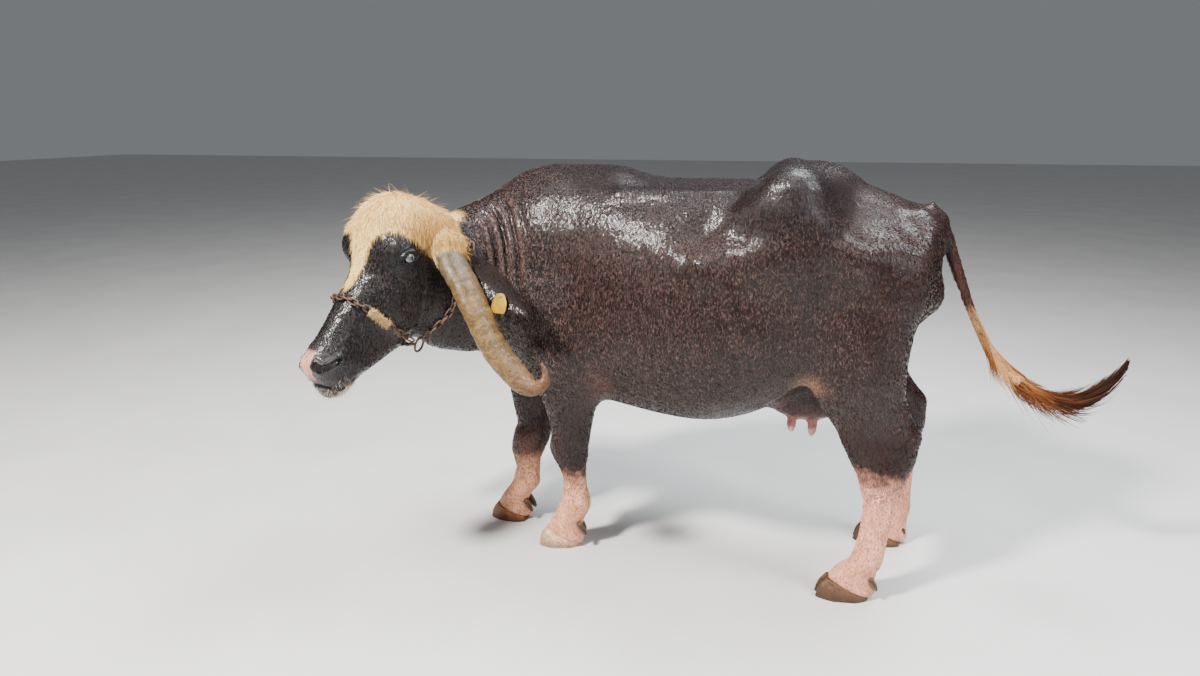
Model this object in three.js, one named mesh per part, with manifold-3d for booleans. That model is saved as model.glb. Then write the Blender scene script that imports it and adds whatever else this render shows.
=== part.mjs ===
// Water buffalo cow, drooping-horned type, standing: life size, in millimetres, +Z up.
// -X is the way the body faces, -Y its left side. The origin is the bottom centre of the whole animal's box.
//
// The flesh is one implicit body made of named masses: a trunk with sections along X, a curved neck, a head with
// sections along the face, four legs with level sections, and rounded masses for shoulders, hips, udder and so on.
// It is turned into a surface, thinned to few triangles, and parted into head, neck, trunk, udder and leg lengths.
import * as THREE from "three";
import Module from "manifold-3d";

const wasm = await Module();
wasm.setup();

// ------------------------------------------------------------------ driving sizes
const GAP = 0.4; // clear distance between pieces that touch
const COAT = 3; // the solids stand this far out, at the tips of the coat
const CELL = 30; // cell of the first surface
const BODY_TRIANGLES = 3500;
const CORONET = 48, CORONET_RISE = 0.42; // height of the top of the claws at the middle of the foot, and its rise towards the toe
const FETLOCK_FORE = 116, FETLOCK_HIND = 100; // height of the dewclaws' roots
const HEADING = [-0.4242, -0.9056]; // way the head faces, seen from above
const FACE_SLOPE = 52; // degrees that the face line drops
const HEAD_ORIGIN = [-981, -300, 1330]; // top of the poll
const EYE = [198, -52, 138], EYE_RADIUS = 21; // along the face, out of the face, sideways
const CHAIN_LINK = 34, CHAIN_WIDE = 9.5, CHAIN_THIN = 4.6;
const RING_RADIUS = 24, RING_WIRE = 4;
const TAG = [60, 56, 2.4];

// ------------------------------------------------------------------ small vector and table helpers
const add = (a, b) => [a[0] + b[0], a[1] + b[1], a[2] + b[2]];
const sub = (a, b) => [a[0] - b[0], a[1] - b[1], a[2] - b[2]];
const mul = (a, k) => [a[0] * k, a[1] * k, a[2] * k];
const dot = (a, b) => a[0] * b[0] + a[1] * b[1] + a[2] * b[2];
const cross = (a, b) => [a[1] * b[2] - a[2] * b[1], a[2] * b[0] - a[0] * b[2], a[0] * b[1] - a[1] * b[0]];
const len = (a) => Math.hypot(a[0], a[1], a[2]);
const unit = (a) => mul(a, 1 / Math.max(len(a), 1e-9));

// smooth curve through rows [x, a, b, ...]; returns x -> [a, b, ...]
function table(rows) {
  const xs = rows.map((r) => r[0]), ys = rows.map((r) => r.slice(1)), n = xs.length, w = ys[0].length;
  const d = [], m = [];
  for (let i = 0; i < n - 1; i++) d.push(ys[i].map((y, k) => (ys[i + 1][k] - y) / (xs[i + 1] - xs[i])));
  for (let i = 0; i < n; i++)
    m.push(ys[i].map((_, k) => i === 0 ? d[0][k] : i === n - 1 ? d[n - 2][k]
      : (d[i][k] * (xs[i] - xs[i - 1]) + d[i - 1][k] * (xs[i + 1] - xs[i])) / (xs[i + 1] - xs[i - 1])));
  return (x) => {
    x = Math.min(Math.max(x, xs[0]), xs[n - 1]);
    let i = 0;
    while (i < n - 2 && x > xs[i + 1]) i++;
    const h = xs[i + 1] - xs[i], t = (x - xs[i]) / h, out = new Array(w);
    for (let k = 0; k < w; k++)
      out[k] = ys[i][k] * (1 + 2 * t) * (1 - t) ** 2 + m[i][k] * h * t * (1 - t) ** 2
        + ys[i + 1][k] * t * t * (3 - 2 * t) - m[i + 1][k] * h * t * t * (1 - t);
    return out;
  };
}
const smin = (a, b, k) => { const h = Math.max(k - Math.abs(a - b), 0) / k; return Math.min(a, b) - h * h * k * 0.25; };
const smax = (a, b, k) => -smin(-a, -b, k);
const capped = (d, w, r) => { // a long form d closed by flat ends w, with edges rounded by r
  const a = d + r, b = w + r;
  return Math.min(Math.max(a, b), 0) + Math.hypot(Math.max(a, 0), Math.max(b, 0)) - r;
};
const ellipse = (u, v, a, b) => {
  const k0 = Math.hypot(u / a, v / b), k1 = Math.hypot(u / a ** 2, v / b ** 2);
  return (k0 * (k0 - 1)) / Math.max(k1, 1e-9);
};

// ------------------------------------------------------------------ head frame: along the face, out of it, to its left
const slope = (FACE_SLOPE * Math.PI) / 180;
const hd = unit([HEADING[0], HEADING[1], 0]);
const ALONG = [hd[0] * Math.cos(slope), hd[1] * Math.cos(slope), -Math.sin(slope)];
const OUT = [hd[0] * Math.sin(slope), hd[1] * Math.sin(slope), Math.cos(slope)];
const LEFT = [-hd[1], hd[0], 0];
const onHead = (u, n, s) => add(HEAD_ORIGIN, add(mul(ALONG, u), add(mul(OUT, n), mul(LEFT, s))));
const inHead = (p) => { const q = sub(p, HEAD_ORIGIN); return [dot(q, ALONG), dot(q, OUT), dot(q, LEFT)]; };

// ------------------------------------------------------------------ masses
// each mass is {f(x, y, z), c, r, k, blend}: a distance-like function, with a ball outside which it can be skipped
function ball(c, r, blend, axes = null) {
  const R = Math.max(...r);
  return { c, r: R, blend, f: (x, y, z) => {
    let a = x - c[0], b = y - c[1], d = z - c[2];
    if (axes) [a, b, d] = [dot([a, b, d], axes[0]), dot([a, b, d], axes[1]), dot([a, b, d], axes[2])];
    const k0 = Math.hypot(a / r[0], b / r[1], d / r[2]), k1 = Math.hypot(a / r[0] ** 2, b / r[1] ** 2, d / r[2] ** 2);
    return (k0 * (k0 - 1)) / Math.max(k1, 1e-9);
  } };
}
// rod: a round bar along a line of points
function rod(line, r, blend) {
  const c = mul(add(line[0], line[line.length - 1]), 0.5), R = Math.max(...line.map((p) => len(sub(p, c)))) + r;
  return { c, r: R, blend, f: (x, y, z) => {
    let best = 1e9;
    for (let i = 0; i < line.length - 1; i++) {
      const ab = sub(line[i + 1], line[i]), ap = [x - line[i][0], y - line[i][1], z - line[i][2]];
      best = Math.min(best, len(sub(ap, mul(ab, Math.min(Math.max(dot(ap, ab) / dot(ab, ab), 0), 1)))));
    }
    return best - r;
  } };
}
function frameOf(long, up) { const a = unit(long), c = unit(cross(a, up)); return [a, cross(c, a), c]; }
const HEAD_AXES = [ALONG, OUT, LEFT];

// leg: level sections, rows [height, front x, rear x, centre y, half width]
function leg(rows, low, high, blend, mirror = false, shift = null) {
  const t = table(rows);
  return { blend, f: (x, y, z) => {
    const zc = Math.min(Math.max(z, low), high);
    let [xf, xr, yc, b] = t(zc);
    if (shift) { const s = shift(zc)[0]; xf += s; xr += s; }
    const d = ellipse(x - (xf + xr) / 2, (mirror ? -y : y) - yc, (xr - xf) / 2, b);
    return capped(d, Math.max(low - z, z - high), 25);
  } };
}
// trunk: upright sections along x, rows [x, top, bottom, half width, height of the widest, exponent above, exponent below]
function trunkMass(rows, round, blend) {
  const t = table(rows), x0 = rows[0][0], x1 = rows[rows.length - 1][0];
  return { blend, f: (x, y, z) => {
    const [top, bottom, w, zw, na, nb] = t(x), up = z > zw;
    const v = Math.abs(y) / w, h = Math.max(up ? (z - zw) / (top - zw) : (zw - z) / (zw - bottom), 1e-6), n = up ? na : nb;
    const k = Math.max((v ** n + h ** n) ** (1 / n), 1e-4), rad = Math.hypot(y, z - zw);
    const d = Math.max(k > 0.15 ? rad - rad / k : -Math.min(w, top - zw), -Math.min(w, 200));
    return capped(d, Math.max(x0 - x, x - x1), round);
  } };
}
// face: the same across the head frame, rows [along, top, bottom, half width, level of the widest, exponents]
function faceMass(rows, round, blend) {
  const t = table(rows), u0 = rows[0][0], u1 = rows[rows.length - 1][0];
  return { blend, f: (x, y, z) => {
    const [u, q, s] = inHead([x, y, z]), [top, bottom, w, nw, na, nb] = t(u), up = q > nw;
    const v = Math.abs(s) / w, h = Math.max(up ? (q - nw) / (top - nw) : (nw - q) / (nw - bottom), 1e-6), n = up ? na : nb;
    const k = Math.max((v ** n + h ** n) ** (1 / n), 1e-4), rad = Math.hypot(s, q - nw);
    const d = Math.max(k > 0.15 ? rad - rad / k : -Math.min(w, 60), -Math.min(w, 60));
    return capped(d, Math.max(u0 - u, u - u1), round);
  } };
}
// sections round a curved line, rows [x, y, z, upright half, sideways half], sampled evenly
function along(rows, n) {
  const L = [0];
  for (let i = 1; i < rows.length; i++) L.push(L[i - 1] + len(sub(rows[i].slice(0, 3), rows[i - 1].slice(0, 3))));
  const t = table(rows.map((r, i) => [L[i], ...r])), q = [];
  for (let i = 0; i < n; i++) q.push(t((L[L.length - 1] * i) / (n - 1)));
  return q;
}
function tangents(q) {
  return q.map((_, i) => unit(sub(q[Math.min(i + 1, q.length - 1)].slice(0, 3), q[Math.max(i - 1, 0)].slice(0, 3))));
}
function neckMass(rows, n, blend) {
  const q = along(rows, n), T = tangents(q);
  return { blend, f: (x, y, z) => {
    const p = [x, y, z];
    let best = 1e18, at = 0, tt = 0;
    for (let i = 0; i < n - 1; i++) {
      const a = q[i], b = q[i + 1], ab = [b[0] - a[0], b[1] - a[1], b[2] - a[2]], ap = [x - a[0], y - a[1], z - a[2]];
      const t = Math.min(Math.max(dot(ap, ab) / dot(ab, ab), 0), 1), d = len(sub(ap, mul(ab, t)));
      if (d < best) { best = d; at = i; tt = t; }
    }
    const s = q[at].map((v, k) => v * (1 - tt) + q[at + 1][k] * tt);
    const tan = unit(add(mul(T[at], 1 - tt), mul(T[at + 1], tt))), side = unit(cross(tan, [0, 0, 1])), up = cross(side, tan);
    const w = sub(p, s), end = (at === 0 && tt <= 0) || (at === n - 2 && tt >= 1);
    return capped(ellipse(dot(w, up), dot(w, side), s[3], s[4]), end ? Math.abs(dot(w, tan)) : -1000, Math.min(s[3], s[4]) / 2);
  } };
}

const LEFT_FORE = [[10, -562, -412, -80, 42], [45, -558, -417, -81, 44], [75, -551, -422, -83, 44], [120, -530, -411, -88, 44], [160, -508, -392, -92, 45], [190, -497, -386, -94, 45], [222, -489, -393, -96, 38], [255, -486, -399, -98, 33], [290, -489, -402, -99, 33], [330, -503, -402, -100, 42], [370, -522, -398, -101, 52], [410, -530, -392, -104, 53], [450, -527, -385, -108, 50], [520, -535, -372, -118, 56], [600, -552, -350, -138, 72], [680, -580, -320, -160, 88], [760, -610, -310, -180, 92], [840, -630, -320, -185, 80]];
const RIGHT_FORE = [[10, -810, -672, -78, 42], [45, -807, -678, -77, 44], [75, -801, -684, -74, 44], [120, -774, -668, -68, 44], [160, -745, -636, -66, 45], [200, -733, -634, -70, 40], [235, -728, -632, -72, 33], [265, -738, -630, -75, 34], [310, -746, -612, -78, 45], [365, -735, -594, -84, 53], [410, -722, -585, -90, 50], [450, -733, -578, -98, 52], [520, -752, -560, -112, 62], [600, -770, -530, -135, 76], [680, -780, -490, -160, 88], [760, -770, -450, -180, 90], [840, -740, -430, -185, 80]];
const HIND = [[10, 464, 624, -206, 42], [45, 466, 620, -206, 44], [75, 470, 618, -208, 44], [110, 493, 623, -211, 44], [140, 527, 634, -214, 46], [180, 543, 639, -214, 42], [220, 551, 643, -213, 36], [285, 558, 652, -211, 35], [358, 557, 659, -208, 38], [400, 545, 666, -205, 44], [443, 531, 686, -201, 49], [485, 509, 703, -197, 50], [540, 480, 712, -193, 49], [597, 452, 712, -190, 52], [640, 420, 690, -190, 66], [700, 382, 664, -190, 92], [780, 352, 655, -188, 112], [860, 340, 658, -182, 120], [930, 345, 668, -176, 122], [1000, 365, 685, -170, 116], [1080, 400, 698, -160, 104], [1170, 440, 700, -150, 80]];
const RIGHT_HIND_BACK = table([[75, 155], [200, 135], [285, 122], [400, 105], [500, 88], [600, 70], [700, 45], [800, 15], [1200, 0]]); // the right hind leg stands this much further back
const TRUNK = [[-690, 1340, 700, 130, 1020, 2.0, 2.0], [-640, 1368, 670, 155, 1020, 2.0, 2.0], [-560, 1400, 640, 190, 1010, 2.0, 2.1], [-460, 1410, 612, 232, 980, 2.0, 2.2], [-360, 1410, 590, 272, 960, 2.1, 2.2], [-280, 1402, 578, 300, 940, 2.2, 2.2], [-200, 1378, 566, 324, 925, 2.3, 2.2], [-100, 1368, 552, 345, 915, 2.4, 2.2], [0, 1368, 546, 355, 910, 2.5, 2.2], [100, 1368, 558, 352, 915, 2.6, 2.2], [200, 1370, 592, 336, 930, 2.6, 2.2], [300, 1380, 650, 305, 960, 2.6, 2.2], [360, 1388, 700, 285, 985, 2.5, 2.2], [430, 1382, 760, 262, 1020, 2.3, 2.2], [500, 1360, 800, 245, 1040, 2.2, 2.2], [600, 1325, 850, 215, 1060, 2.1, 2.2], [680, 1288, 900, 170, 1080, 2.0, 2.1], [738, 1262, 930, 130, 1090, 2.0, 2.0]];
const NECK = [[-430, 0, 1010, 270, 150], [-520, 0, 1025, 320, 190], [-610, -10, 1032, 326, 188], [-700, -50, 1026, 294, 160], [-775, -120, 1018, 264, 135], [-838, -195, 1010, 240, 116], [-885, -265, 1008, 204, 95], [-930, -330, 1016, 140, 65]];
const FACE = [[150, 15, -250, 122, -110, 2.0, 2.0], [200, 6, -276, 124, -112, 2.0, 2.1], [260, -2, -292, 114, -120, 2.1, 2.1], [330, -6, -298, 94, -118, 2.2, 2.2], [400, -4, -290, 80, -112, 2.3, 2.3], [460, -2, -258, 68, -104, 2.3, 2.3], [520, 0, -222, 64, -92, 2.2, 2.3], [570, 6, -190, 68, -80, 2.2, 2.3], [620, 2, -164, 72, -72, 2.2, 2.4], [655, -18, -146, 64, -68, 2.2, 2.4]];

const masses = [
  trunkMass(TRUNK, 60, 1),
  neckMass(NECK, 28, 90),
  leg(LEFT_FORE, 8, 840, 60),
  leg(RIGHT_FORE, 8, 840, 60, true),
  leg(HIND, 8, 1170, 70),
  leg(HIND, 8, 1170, 70, true, RIGHT_HIND_BACK),
];
for (const s of [-1, 1]) {
  masses.push(
    ball([-555, s * 150, 1120], [235, 105, 72], 70, frameOf([0.3, -s * 0.28, 1], [1, 0, 0])), // shoulder blade
    ball([s > 0 ? -680 : -610, s * 165, 930], [105, 85, 120], 80), // point of the shoulder
    ball([s > 0 ? -590 : -480, s * 185, 860], [120, 80, 170], 80), // upper arm
    ball([315, s * 120, 1335], [85, 120, 62], 80), // wing of the pelvis
    ball([300, s * 212, 1285], [108, 70, 85], 100), // hip
    ball([276, s * 244, 1334], [48, 32, 38], 55), // hip bone
    ball([300, s * 232, 1180], [125, 72, 150], 110), // flank of the rump, under the hip bone
    ball([668, s * 112, 1222], [62, 48, 50], 60), // pin bone
    ball([515, s * 205, 1120], [140, 75, 130], 80), // rump muscle
  );
}
masses.push(
  ball([345, 0, 1352], [110, 120, 62], 80), // sacrum
  ball([690, 0, 1250], [70, 42, 34], 50), // tail head
  ball([662, 0, 1090], [78, 52, 150], 60), // under the tail
  ball([716, 0, 1016], [50, 34, 60], 36),
  ball(onHead(166, -22, -96), [46, 44, 44], 34, HEAD_AXES), // the far brow's upper edge
  ball([-655, 0, 760], [100, 110, 150], 90), // brisket
  ball([362, 0, 655], [150, 125, 102], 50), // udder
  ball(onHead(104, -90, 0), [124, 144, 148], 60, HEAD_AXES), // domed cranium
  ball(onHead(62, -140, 0), [82, 95, 160], 40, HEAD_AXES), // poll between the horns
  ball(onHead(188, -72, 0), [80, 96, 130], 40, HEAD_AXES), // forehead between the eyes
  faceMass(FACE, 28, 50),
  ball(onHead(636, -116, 0), [50, 48, 52], 25, HEAD_AXES), // chin
);
for (const s of [-1, 1])
  masses.push(
    ball(onHead(285, -165, s * 78), [125, 100, 42], 40, HEAD_AXES), // jaw muscle
    ball(onHead(188, -40, s * (s < 0 ? 118 : 106)), [50, 44, 36], 35, HEAD_AXES), // brow
    ball(onHead(96, -160, s * 152), [57, 54, 54], 28, HEAD_AXES), // collar of the horn
  );
const TEATS = [[318, -62, 30], [388, -58, 42], [318, 62, 30], [388, 58, 42]];
for (const [x, y, long] of TEATS) masses.push(ball([x, y, 556 - long / 5], [16, 16, long], 14));
const hollows = [];
for (const s of [-1, 1])
  hollows.push(
    ball([88, s * 350, 1244], [170, 100, 92], 60), // flank hollow
    ball([500, s * 252, 1330], [120, 56, 46], 80, frameOf([0.92, -s * 0.3, -0.26], [0, 0, 1])), // dish between hip bone and pin bone
  );
// folds of skin over the bones, laid on after the hollows
const FOLDS = [
  [[[268, 248, 1347], [222, 260, 1326], [166, 250, 1281], [109, 257, 1216], [62, 280, 1165], [28, 312, 1122]], 24, 90], // hip bone to flank
  [[[276, 250, 1340], [282, 282, 1250], [288, 292, 1150]], 22, 120], // hip bone straight down
  [[[262, 252, 1335], [205, 286, 1235], [172, 302, 1150]], 22, 120], // and between it and the flank
  [[[284, 262, 1350], [330, 276, 1285], [386, 268, 1200], [474, 270, 1150]], 20, 80], // hip bone to thigh
  [[[-265, 172, 1324], [-71, 178, 1322], [116, 188, 1326], [222, 222, 1338]], 14, 40], // edge of the loin
  [[[660, 112, 1264], [672, 142, 1232], [668, 176, 1190], [652, 222, 1120], [650, 222, 1010]], 16, 60], // pin bone and down the buttock
];
const ridges = [];
for (const [line, r, blend] of FOLDS) for (const s of [-1, 1]) ridges.push(rod(line.map(([x, y, z]) => [x, s * y, z]), r, blend));

function flesh(x, y, z) {
  let out = 1000;
  for (const m of masses) {
    if (m.c && Math.hypot(x - m.c[0], y - m.c[1], z - m.c[2]) > m.r + 170) continue;
    out = smin(out, m.f(x, y, z), m.blend);
  }
  for (const m of hollows)
    if (Math.hypot(x - m.c[0], y - m.c[1], z - m.c[2]) < m.r + 200) out = smax(out, -m.f(x, y, z), m.blend);
  for (const m of ridges)
    if (Math.hypot(x - m.c[0], y - m.c[1], z - m.c[2]) < m.r + 120) out = smin(out, m.f(x, y, z), m.blend);
  return out - COAT;
}
const slopeOf = (p, e = 1) => {
  const f = flesh(...p);
  return [f, [(flesh(p[0] + e, p[1], p[2]) - f) / e, (flesh(p[0], p[1] + e, p[2]) - f) / e, (flesh(p[0], p[1], p[2] + e) - f) / e]];
};
// moves a point along the slope of the body until it stands `off` outside the skin
function settle(p, off, steps = 12, limit = 12) {
  for (let i = 0; i < steps; i++) {
    const [f, g] = slopeOf(p), gg = Math.max(dot(g, g), 0.05), s = mul(g, -(f - off) / gg), l = len(s);
    p = add(p, mul(s, Math.min(1, limit / Math.max(l, 1e-9))));
  }
  return p;
}

// ------------------------------------------------------------------ surface of the flesh
function surface(lo, hi, h) {
  const C = 4, n = [0, 1, 2].map((d) => Math.ceil((hi[d] - lo[d]) / h / C) * C + 1);
  const [nx, ny, nz] = n, V = new Float32Array(nx * ny * nz).fill(NaN), id = (i, j, k) => (i * ny + j) * nz + k;
  const at = (i, j, k) => {
    const q = id(i, j, k);
    if (Number.isNaN(V[q])) V[q] = flesh(lo[0] + i * h, lo[1] + j * h, lo[2] + k * h);
    return V[q];
  };
  const cells = [];
  for (let i = 0; i < nx - 1; i += C) for (let j = 0; j < ny - 1; j += C) for (let k = 0; k < nz - 1; k += C) {
    let near = false;
    for (let c = 0; c < 8 && !near; c++) near = Math.abs(at(i + (c & 1) * C, j + ((c >> 1) & 1) * C, k + ((c >> 2) & 1) * C)) < h * C * 1.9;
    if (near) for (let a = 0; a < C; a++) for (let b = 0; b < C; b++) for (let c = 0; c < C; c++) cells.push([i + a, j + b, k + c]);
  }
  // each cell is split in six tetrahedra, so that the surface is closed everywhere and never touches itself
  const verts = [], tris = [], index = new Map(), SIX = [[0, 1, 3, 7], [0, 1, 5, 7], [0, 2, 3, 7], [0, 2, 6, 7], [0, 4, 5, 7], [0, 4, 6, 7]];
  for (const [i, j, k] of cells) {
    const node = [], v = [], pos = [];
    let inside = 0;
    for (let c = 0; c < 8; c++) {
      const q = [i + (c & 1), j + ((c >> 1) & 1), k + ((c >> 2) & 1)];
      node.push(id(...q)); v.push(at(...q) || 1e-3); pos.push([lo[0] + q[0] * h, lo[1] + q[1] * h, lo[2] + q[2] * h]);
      if (v[c] < 0) inside++;
    }
    if (!inside || inside === 8) continue;
    const cut = (a, b) => {
      const key = node[a] < node[b] ? node[a] * 1e7 + node[b] : node[b] * 1e7 + node[a];
      if (!index.has(key)) { index.set(key, verts.length); verts.push(add(pos[a], mul(sub(pos[b], pos[a]), Math.min(Math.max(v[a] / (v[a] - v[b]), 0.08), 0.92)))); }
      return index.get(key);
    };
    for (const t of SIX) {
      const ins = t.filter((c) => v[c] < 0), outs = t.filter((c) => v[c] >= 0);
      if (!ins.length || !outs.length) continue;
      const way = sub(mul(outs.map((c) => pos[c]).reduce(add), 1 / outs.length), mul(ins.map((c) => pos[c]).reduce(add), 1 / ins.length));
      const face = (a, b, c) => { const n = cross(sub(verts[b], verts[a]), sub(verts[c], verts[a])); tris.push(dot(n, way) > 0 ? [a, b, c] : [a, c, b]); };
      if (ins.length === 1) face(...outs.map((c) => cut(ins[0], c)));
      else if (outs.length === 1) face(...ins.map((c) => cut(c, outs[0])));
      else {
        const [p, q, r, w] = [cut(ins[0], outs[0]), cut(ins[0], outs[1]), cut(ins[1], outs[1]), cut(ins[1], outs[0])];
        face(p, q, r); face(p, r, w);
      }
    }
  }
  for (let i = 0; i < verts.length; i++) verts[i] = settle(verts[i], 0, 2, 8);
  return { verts, tris };
}

// thins a closed mesh by collapsing the edges that change its shape least, keeping it closed
function thin(mesh, target) {
  const V = mesh.verts.map((v) => [...v]), F = mesh.tris.map((t) => [...t]), alive = F.map(() => true);
  const Q = V.map(() => new Float64Array(10)), fans = V.map(() => new Set());
  const normal = (a, b, c) => cross(sub(b, a), sub(c, a));
  F.forEach((t, i) => {
    const n = normal(V[t[0]], V[t[1]], V[t[2]]), area = len(n), m = unit(n), d = -dot(m, V[t[0]]), q = [m[0], m[1], m[2], d];
    for (const v of t) {
      fans[v].add(i);
      let s = 0;
      for (let a = 0; a < 4; a++) for (let b = a; b < 4; b++) Q[v][s++] += q[a] * q[b] * area;
    }
  });
  const cost = (q, p) => {
    const x = [p[0], p[1], p[2], 1];
    let s = 0, e = 0;
    for (let a = 0; a < 4; a++) for (let b = a; b < 4; b++) e += q[s++] * x[a] * x[b] * (a === b ? 1 : 2);
    return e;
  };
  const ring = (v) => { const s = new Set(); for (const f of fans[v]) for (const w of F[f]) if (w !== v) s.add(w); return s; };
  const best = (a, b) => {
    const q = Q[a].map((x, i) => x + Q[b][i]), L2 = dot(sub(V[a], V[b]), sub(V[a], V[b]));
    let pick = null;
    for (const t of [0, 0.25, 0.5, 0.75, 1]) {
      const p = add(mul(V[a], 1 - t), mul(V[b], t)), c = Math.abs(cost(q, p)) + 1e-4 * L2 * L2 * 1e-2;
      if (!pick || c < pick.c) pick = { c, p };
    }
    return pick;
  };
  const heap = [], stamp = new Int32Array(V.length);
  const push = (e) => { let i = heap.push(e) - 1; while (i > 0) { const p = (i - 1) >> 1; if (heap[p].c <= heap[i].c) break; [heap[p], heap[i]] = [heap[i], heap[p]]; i = p; } };
  const pop = () => {
    const top = heap[0], last = heap.pop();
    if (heap.length) {
      heap[0] = last;
      for (let i = 0; ;) { let c = 2 * i + 1; if (c >= heap.length) break; if (c + 1 < heap.length && heap[c + 1].c < heap[c].c) c++; if (heap[i].c <= heap[c].c) break; [heap[c], heap[i]] = [heap[i], heap[c]]; i = c; }
    }
    return top;
  };
  const offer = (a, b) => { const k = best(a, b); push({ c: k.c, p: k.p, a, b, s: stamp[a] + stamp[b] }); };
  V.forEach((_, v) => { for (const w of ring(v)) if (w > v) offer(v, w); });
  let left = F.length;
  while (left > target && heap.length) {
    const e = pop(), { a, b, p } = e;
    if (stamp[a] < 0 || stamp[b] < 0 || e.s !== stamp[a] + stamp[b]) continue;
    const ra = ring(a), rb = ring(b);
    if (!ra.has(b)) continue;
    let shared = 0;
    for (const w of ra) if (rb.has(w)) shared++;
    if (shared !== 2 || ra.size + rb.size - 4 < 3) continue;
    let ok = true;
    for (const [v, o] of [[a, b], [b, a]]) for (const f of fans[v]) {
      if (F[f].includes(o)) continue;
      const old = F[f].map((w) => V[w]), now = F[f].map((w) => (w === v ? p : V[w])), n0 = normal(...old), n1 = normal(...now);
      if ((len(n0) > 20 && dot(n0, n1) < 0.35 * len(n0) * len(n1)) || len(n1) < 4) { ok = false; break; }
      const ls = [len(sub(now[0], now[1])), len(sub(now[1], now[2])), len(sub(now[2], now[0]))];
      if (len(n1) / Math.max(...ls) ** 2 < 0.06) { ok = false; break; }
    }
    if (!ok) continue;
    V[a] = p;
    for (let i = 0; i < 10; i++) Q[a][i] += Q[b][i];
    for (const f of [...fans[b]]) {
      if (F[f].includes(a)) { alive[f] = false; left--; for (const w of F[f]) fans[w].delete(f); }
      else { F[f] = F[f].map((w) => (w === b ? a : w)); fans[a].add(f); }
    }
    fans[b].clear();
    stamp[b] = -1e9;
    stamp[a]++;
    for (const w of ring(a)) offer(a, w);
  }
  const map = new Map(), verts = [], tris = [];
  F.forEach((t, i) => { if (alive[i]) tris.push(t.map((v) => { if (!map.has(v)) { map.set(v, verts.length); verts.push(V[v]); } return map.get(v); })); });
  return { verts, tris };
}

// ------------------------------------------------------------------ solids
const solid = (m) => new wasm.Manifold(new wasm.Mesh({ numProp: 3, vertProperties: new Float32Array(m.verts.flat()), triVerts: new Uint32Array(m.tris.flat()) }));
function ofGeometry(g) { // a three.js geometry as a shared-vertex mesh
  const p = g.getAttribute("position"), key = new Map(), verts = [], ids = [];
  for (let i = 0; i < p.count; i++) {
    const v = [p.getX(i), p.getY(i), p.getZ(i)], k = v.map((x) => Math.round(x * 1e4)).join();
    if (!key.has(k)) { key.set(k, verts.length); verts.push(v); }
    ids.push(key.get(k));
  }
  const src = g.index ? [...g.index.array].map((i) => ids[i]) : ids, tris = [];
  for (let i = 0; i < src.length; i += 3) if (src[i] !== src[i + 1] && src[i + 1] !== src[i + 2] && src[i] !== src[i + 2]) tris.push([src[i], src[i + 1], src[i + 2]]);
  return { verts, tris };
}
const moved = (m, f) => ({ verts: m.verts.map(f), tris: m.tris });
function swollen(m, d) { // the same mesh with each corner moved out by about d
  const N = m.verts.map(() => [0, 0, 0]);
  for (const [a, b, c] of m.tris) {
    const n = cross(sub(m.verts[b], m.verts[a]), sub(m.verts[c], m.verts[a]));
    for (const v of [a, b, c]) N[v] = add(N[v], unit(n));
  }
  return { verts: m.verts.map((v, i) => add(v, mul(unit(N[i]), d))), tris: m.tris };
}
const meshOf = (s) => {
  const g = s.getMesh(), verts = [], tris = [];
  for (let i = 0; i < g.numVert; i++) verts.push([...g.vertProperties.subarray(i * g.numProp, i * g.numProp + 3)]);
  for (let i = 0; i < g.triVerts.length; i += 3) tris.push([...g.triVerts.subarray(i, i + 3)]);
  return { verts, tris };
};
const largest = (s) => s.decompose().sort((a, b) => b.volume() - a.volume())[0];
const block = (x0, x1, y0, y1, z0, z1) => solid(moved(ofGeometry(new THREE.BoxGeometry(x1 - x0, y1 - y0, z1 - z0)), (v) => add(v, [(x0 + x1) / 2, (y0 + y1) / 2, (z0 + z1) / 2])));
// the half of space behind a plane, as a large block: all p with (p - at) . n < 0
function behind(at, n, shift = 0, size = 3000) {
  n = unit(n);
  const q = new THREE.Quaternion().setFromUnitVectors(new THREE.Vector3(0, 0, 1), new THREE.Vector3(...n));
  const g = new THREE.BoxGeometry(size, size, size).translate(0, 0, -size / 2 + shift).applyQuaternion(q).translate(...at);
  return solid(ofGeometry(g));
}
// closed skin over rings of points, each ring the same count
function loft(rings) {
  const m = rings[0].length, verts = rings.flat(), tris = [];
  for (let i = 0; i < rings.length - 1; i++) for (let j = 0; j < m; j++) {
    const a = i * m + j, b = i * m + ((j + 1) % m), c = a + m, d = b + m;
    tris.push([a, b, d], [a, d, c]);
  }
  const centre = (r) => mul(r.reduce(add), 1 / m);
  verts.push(centre(rings[0]), centre(rings[rings.length - 1]));
  const s = verts.length - 2, e = verts.length - 1, last = (rings.length - 1) * m;
  for (let j = 0; j < m; j++) { tris.push([s, (j + 1) % m, j]); tris.push([e, last + j, last + ((j + 1) % m)]); }
  const out = { verts, tris };
  return solid(out).volume() < 0 ? { verts, tris: tris.map((t) => [t[0], t[2], t[1]]) } : out;
}
function ringAt(c, a, b, ra, rb, m, turn = 0) {
  return Array.from({ length: m }, (_, j) => { const t = (2 * Math.PI * j) / m + turn; return add(c, add(mul(a, ra * Math.cos(t)), mul(b, rb * Math.sin(t)))); });
}
function tube(rows, n, m, up = [0, 0, 1], from = 0, to = 1) {
  const q = along(rows, n), T = tangents(q), rings = [];
  const side0 = unit(cross(T[0], up));
  let side = side0;
  for (let i = 0; i < n; i++) {
    const s = unit(sub(side, mul(T[i], dot(side, T[i]))));
    side = s;
    if (i / (n - 1) < from - 1e-9 || i / (n - 1) > to + 1e-9) continue;
    rings.push(ringAt(q[i].slice(0, 3), cross(s, T[i]), s, q[i][3], q[i][4], m));
  }
  return loft(rings);
}

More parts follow.
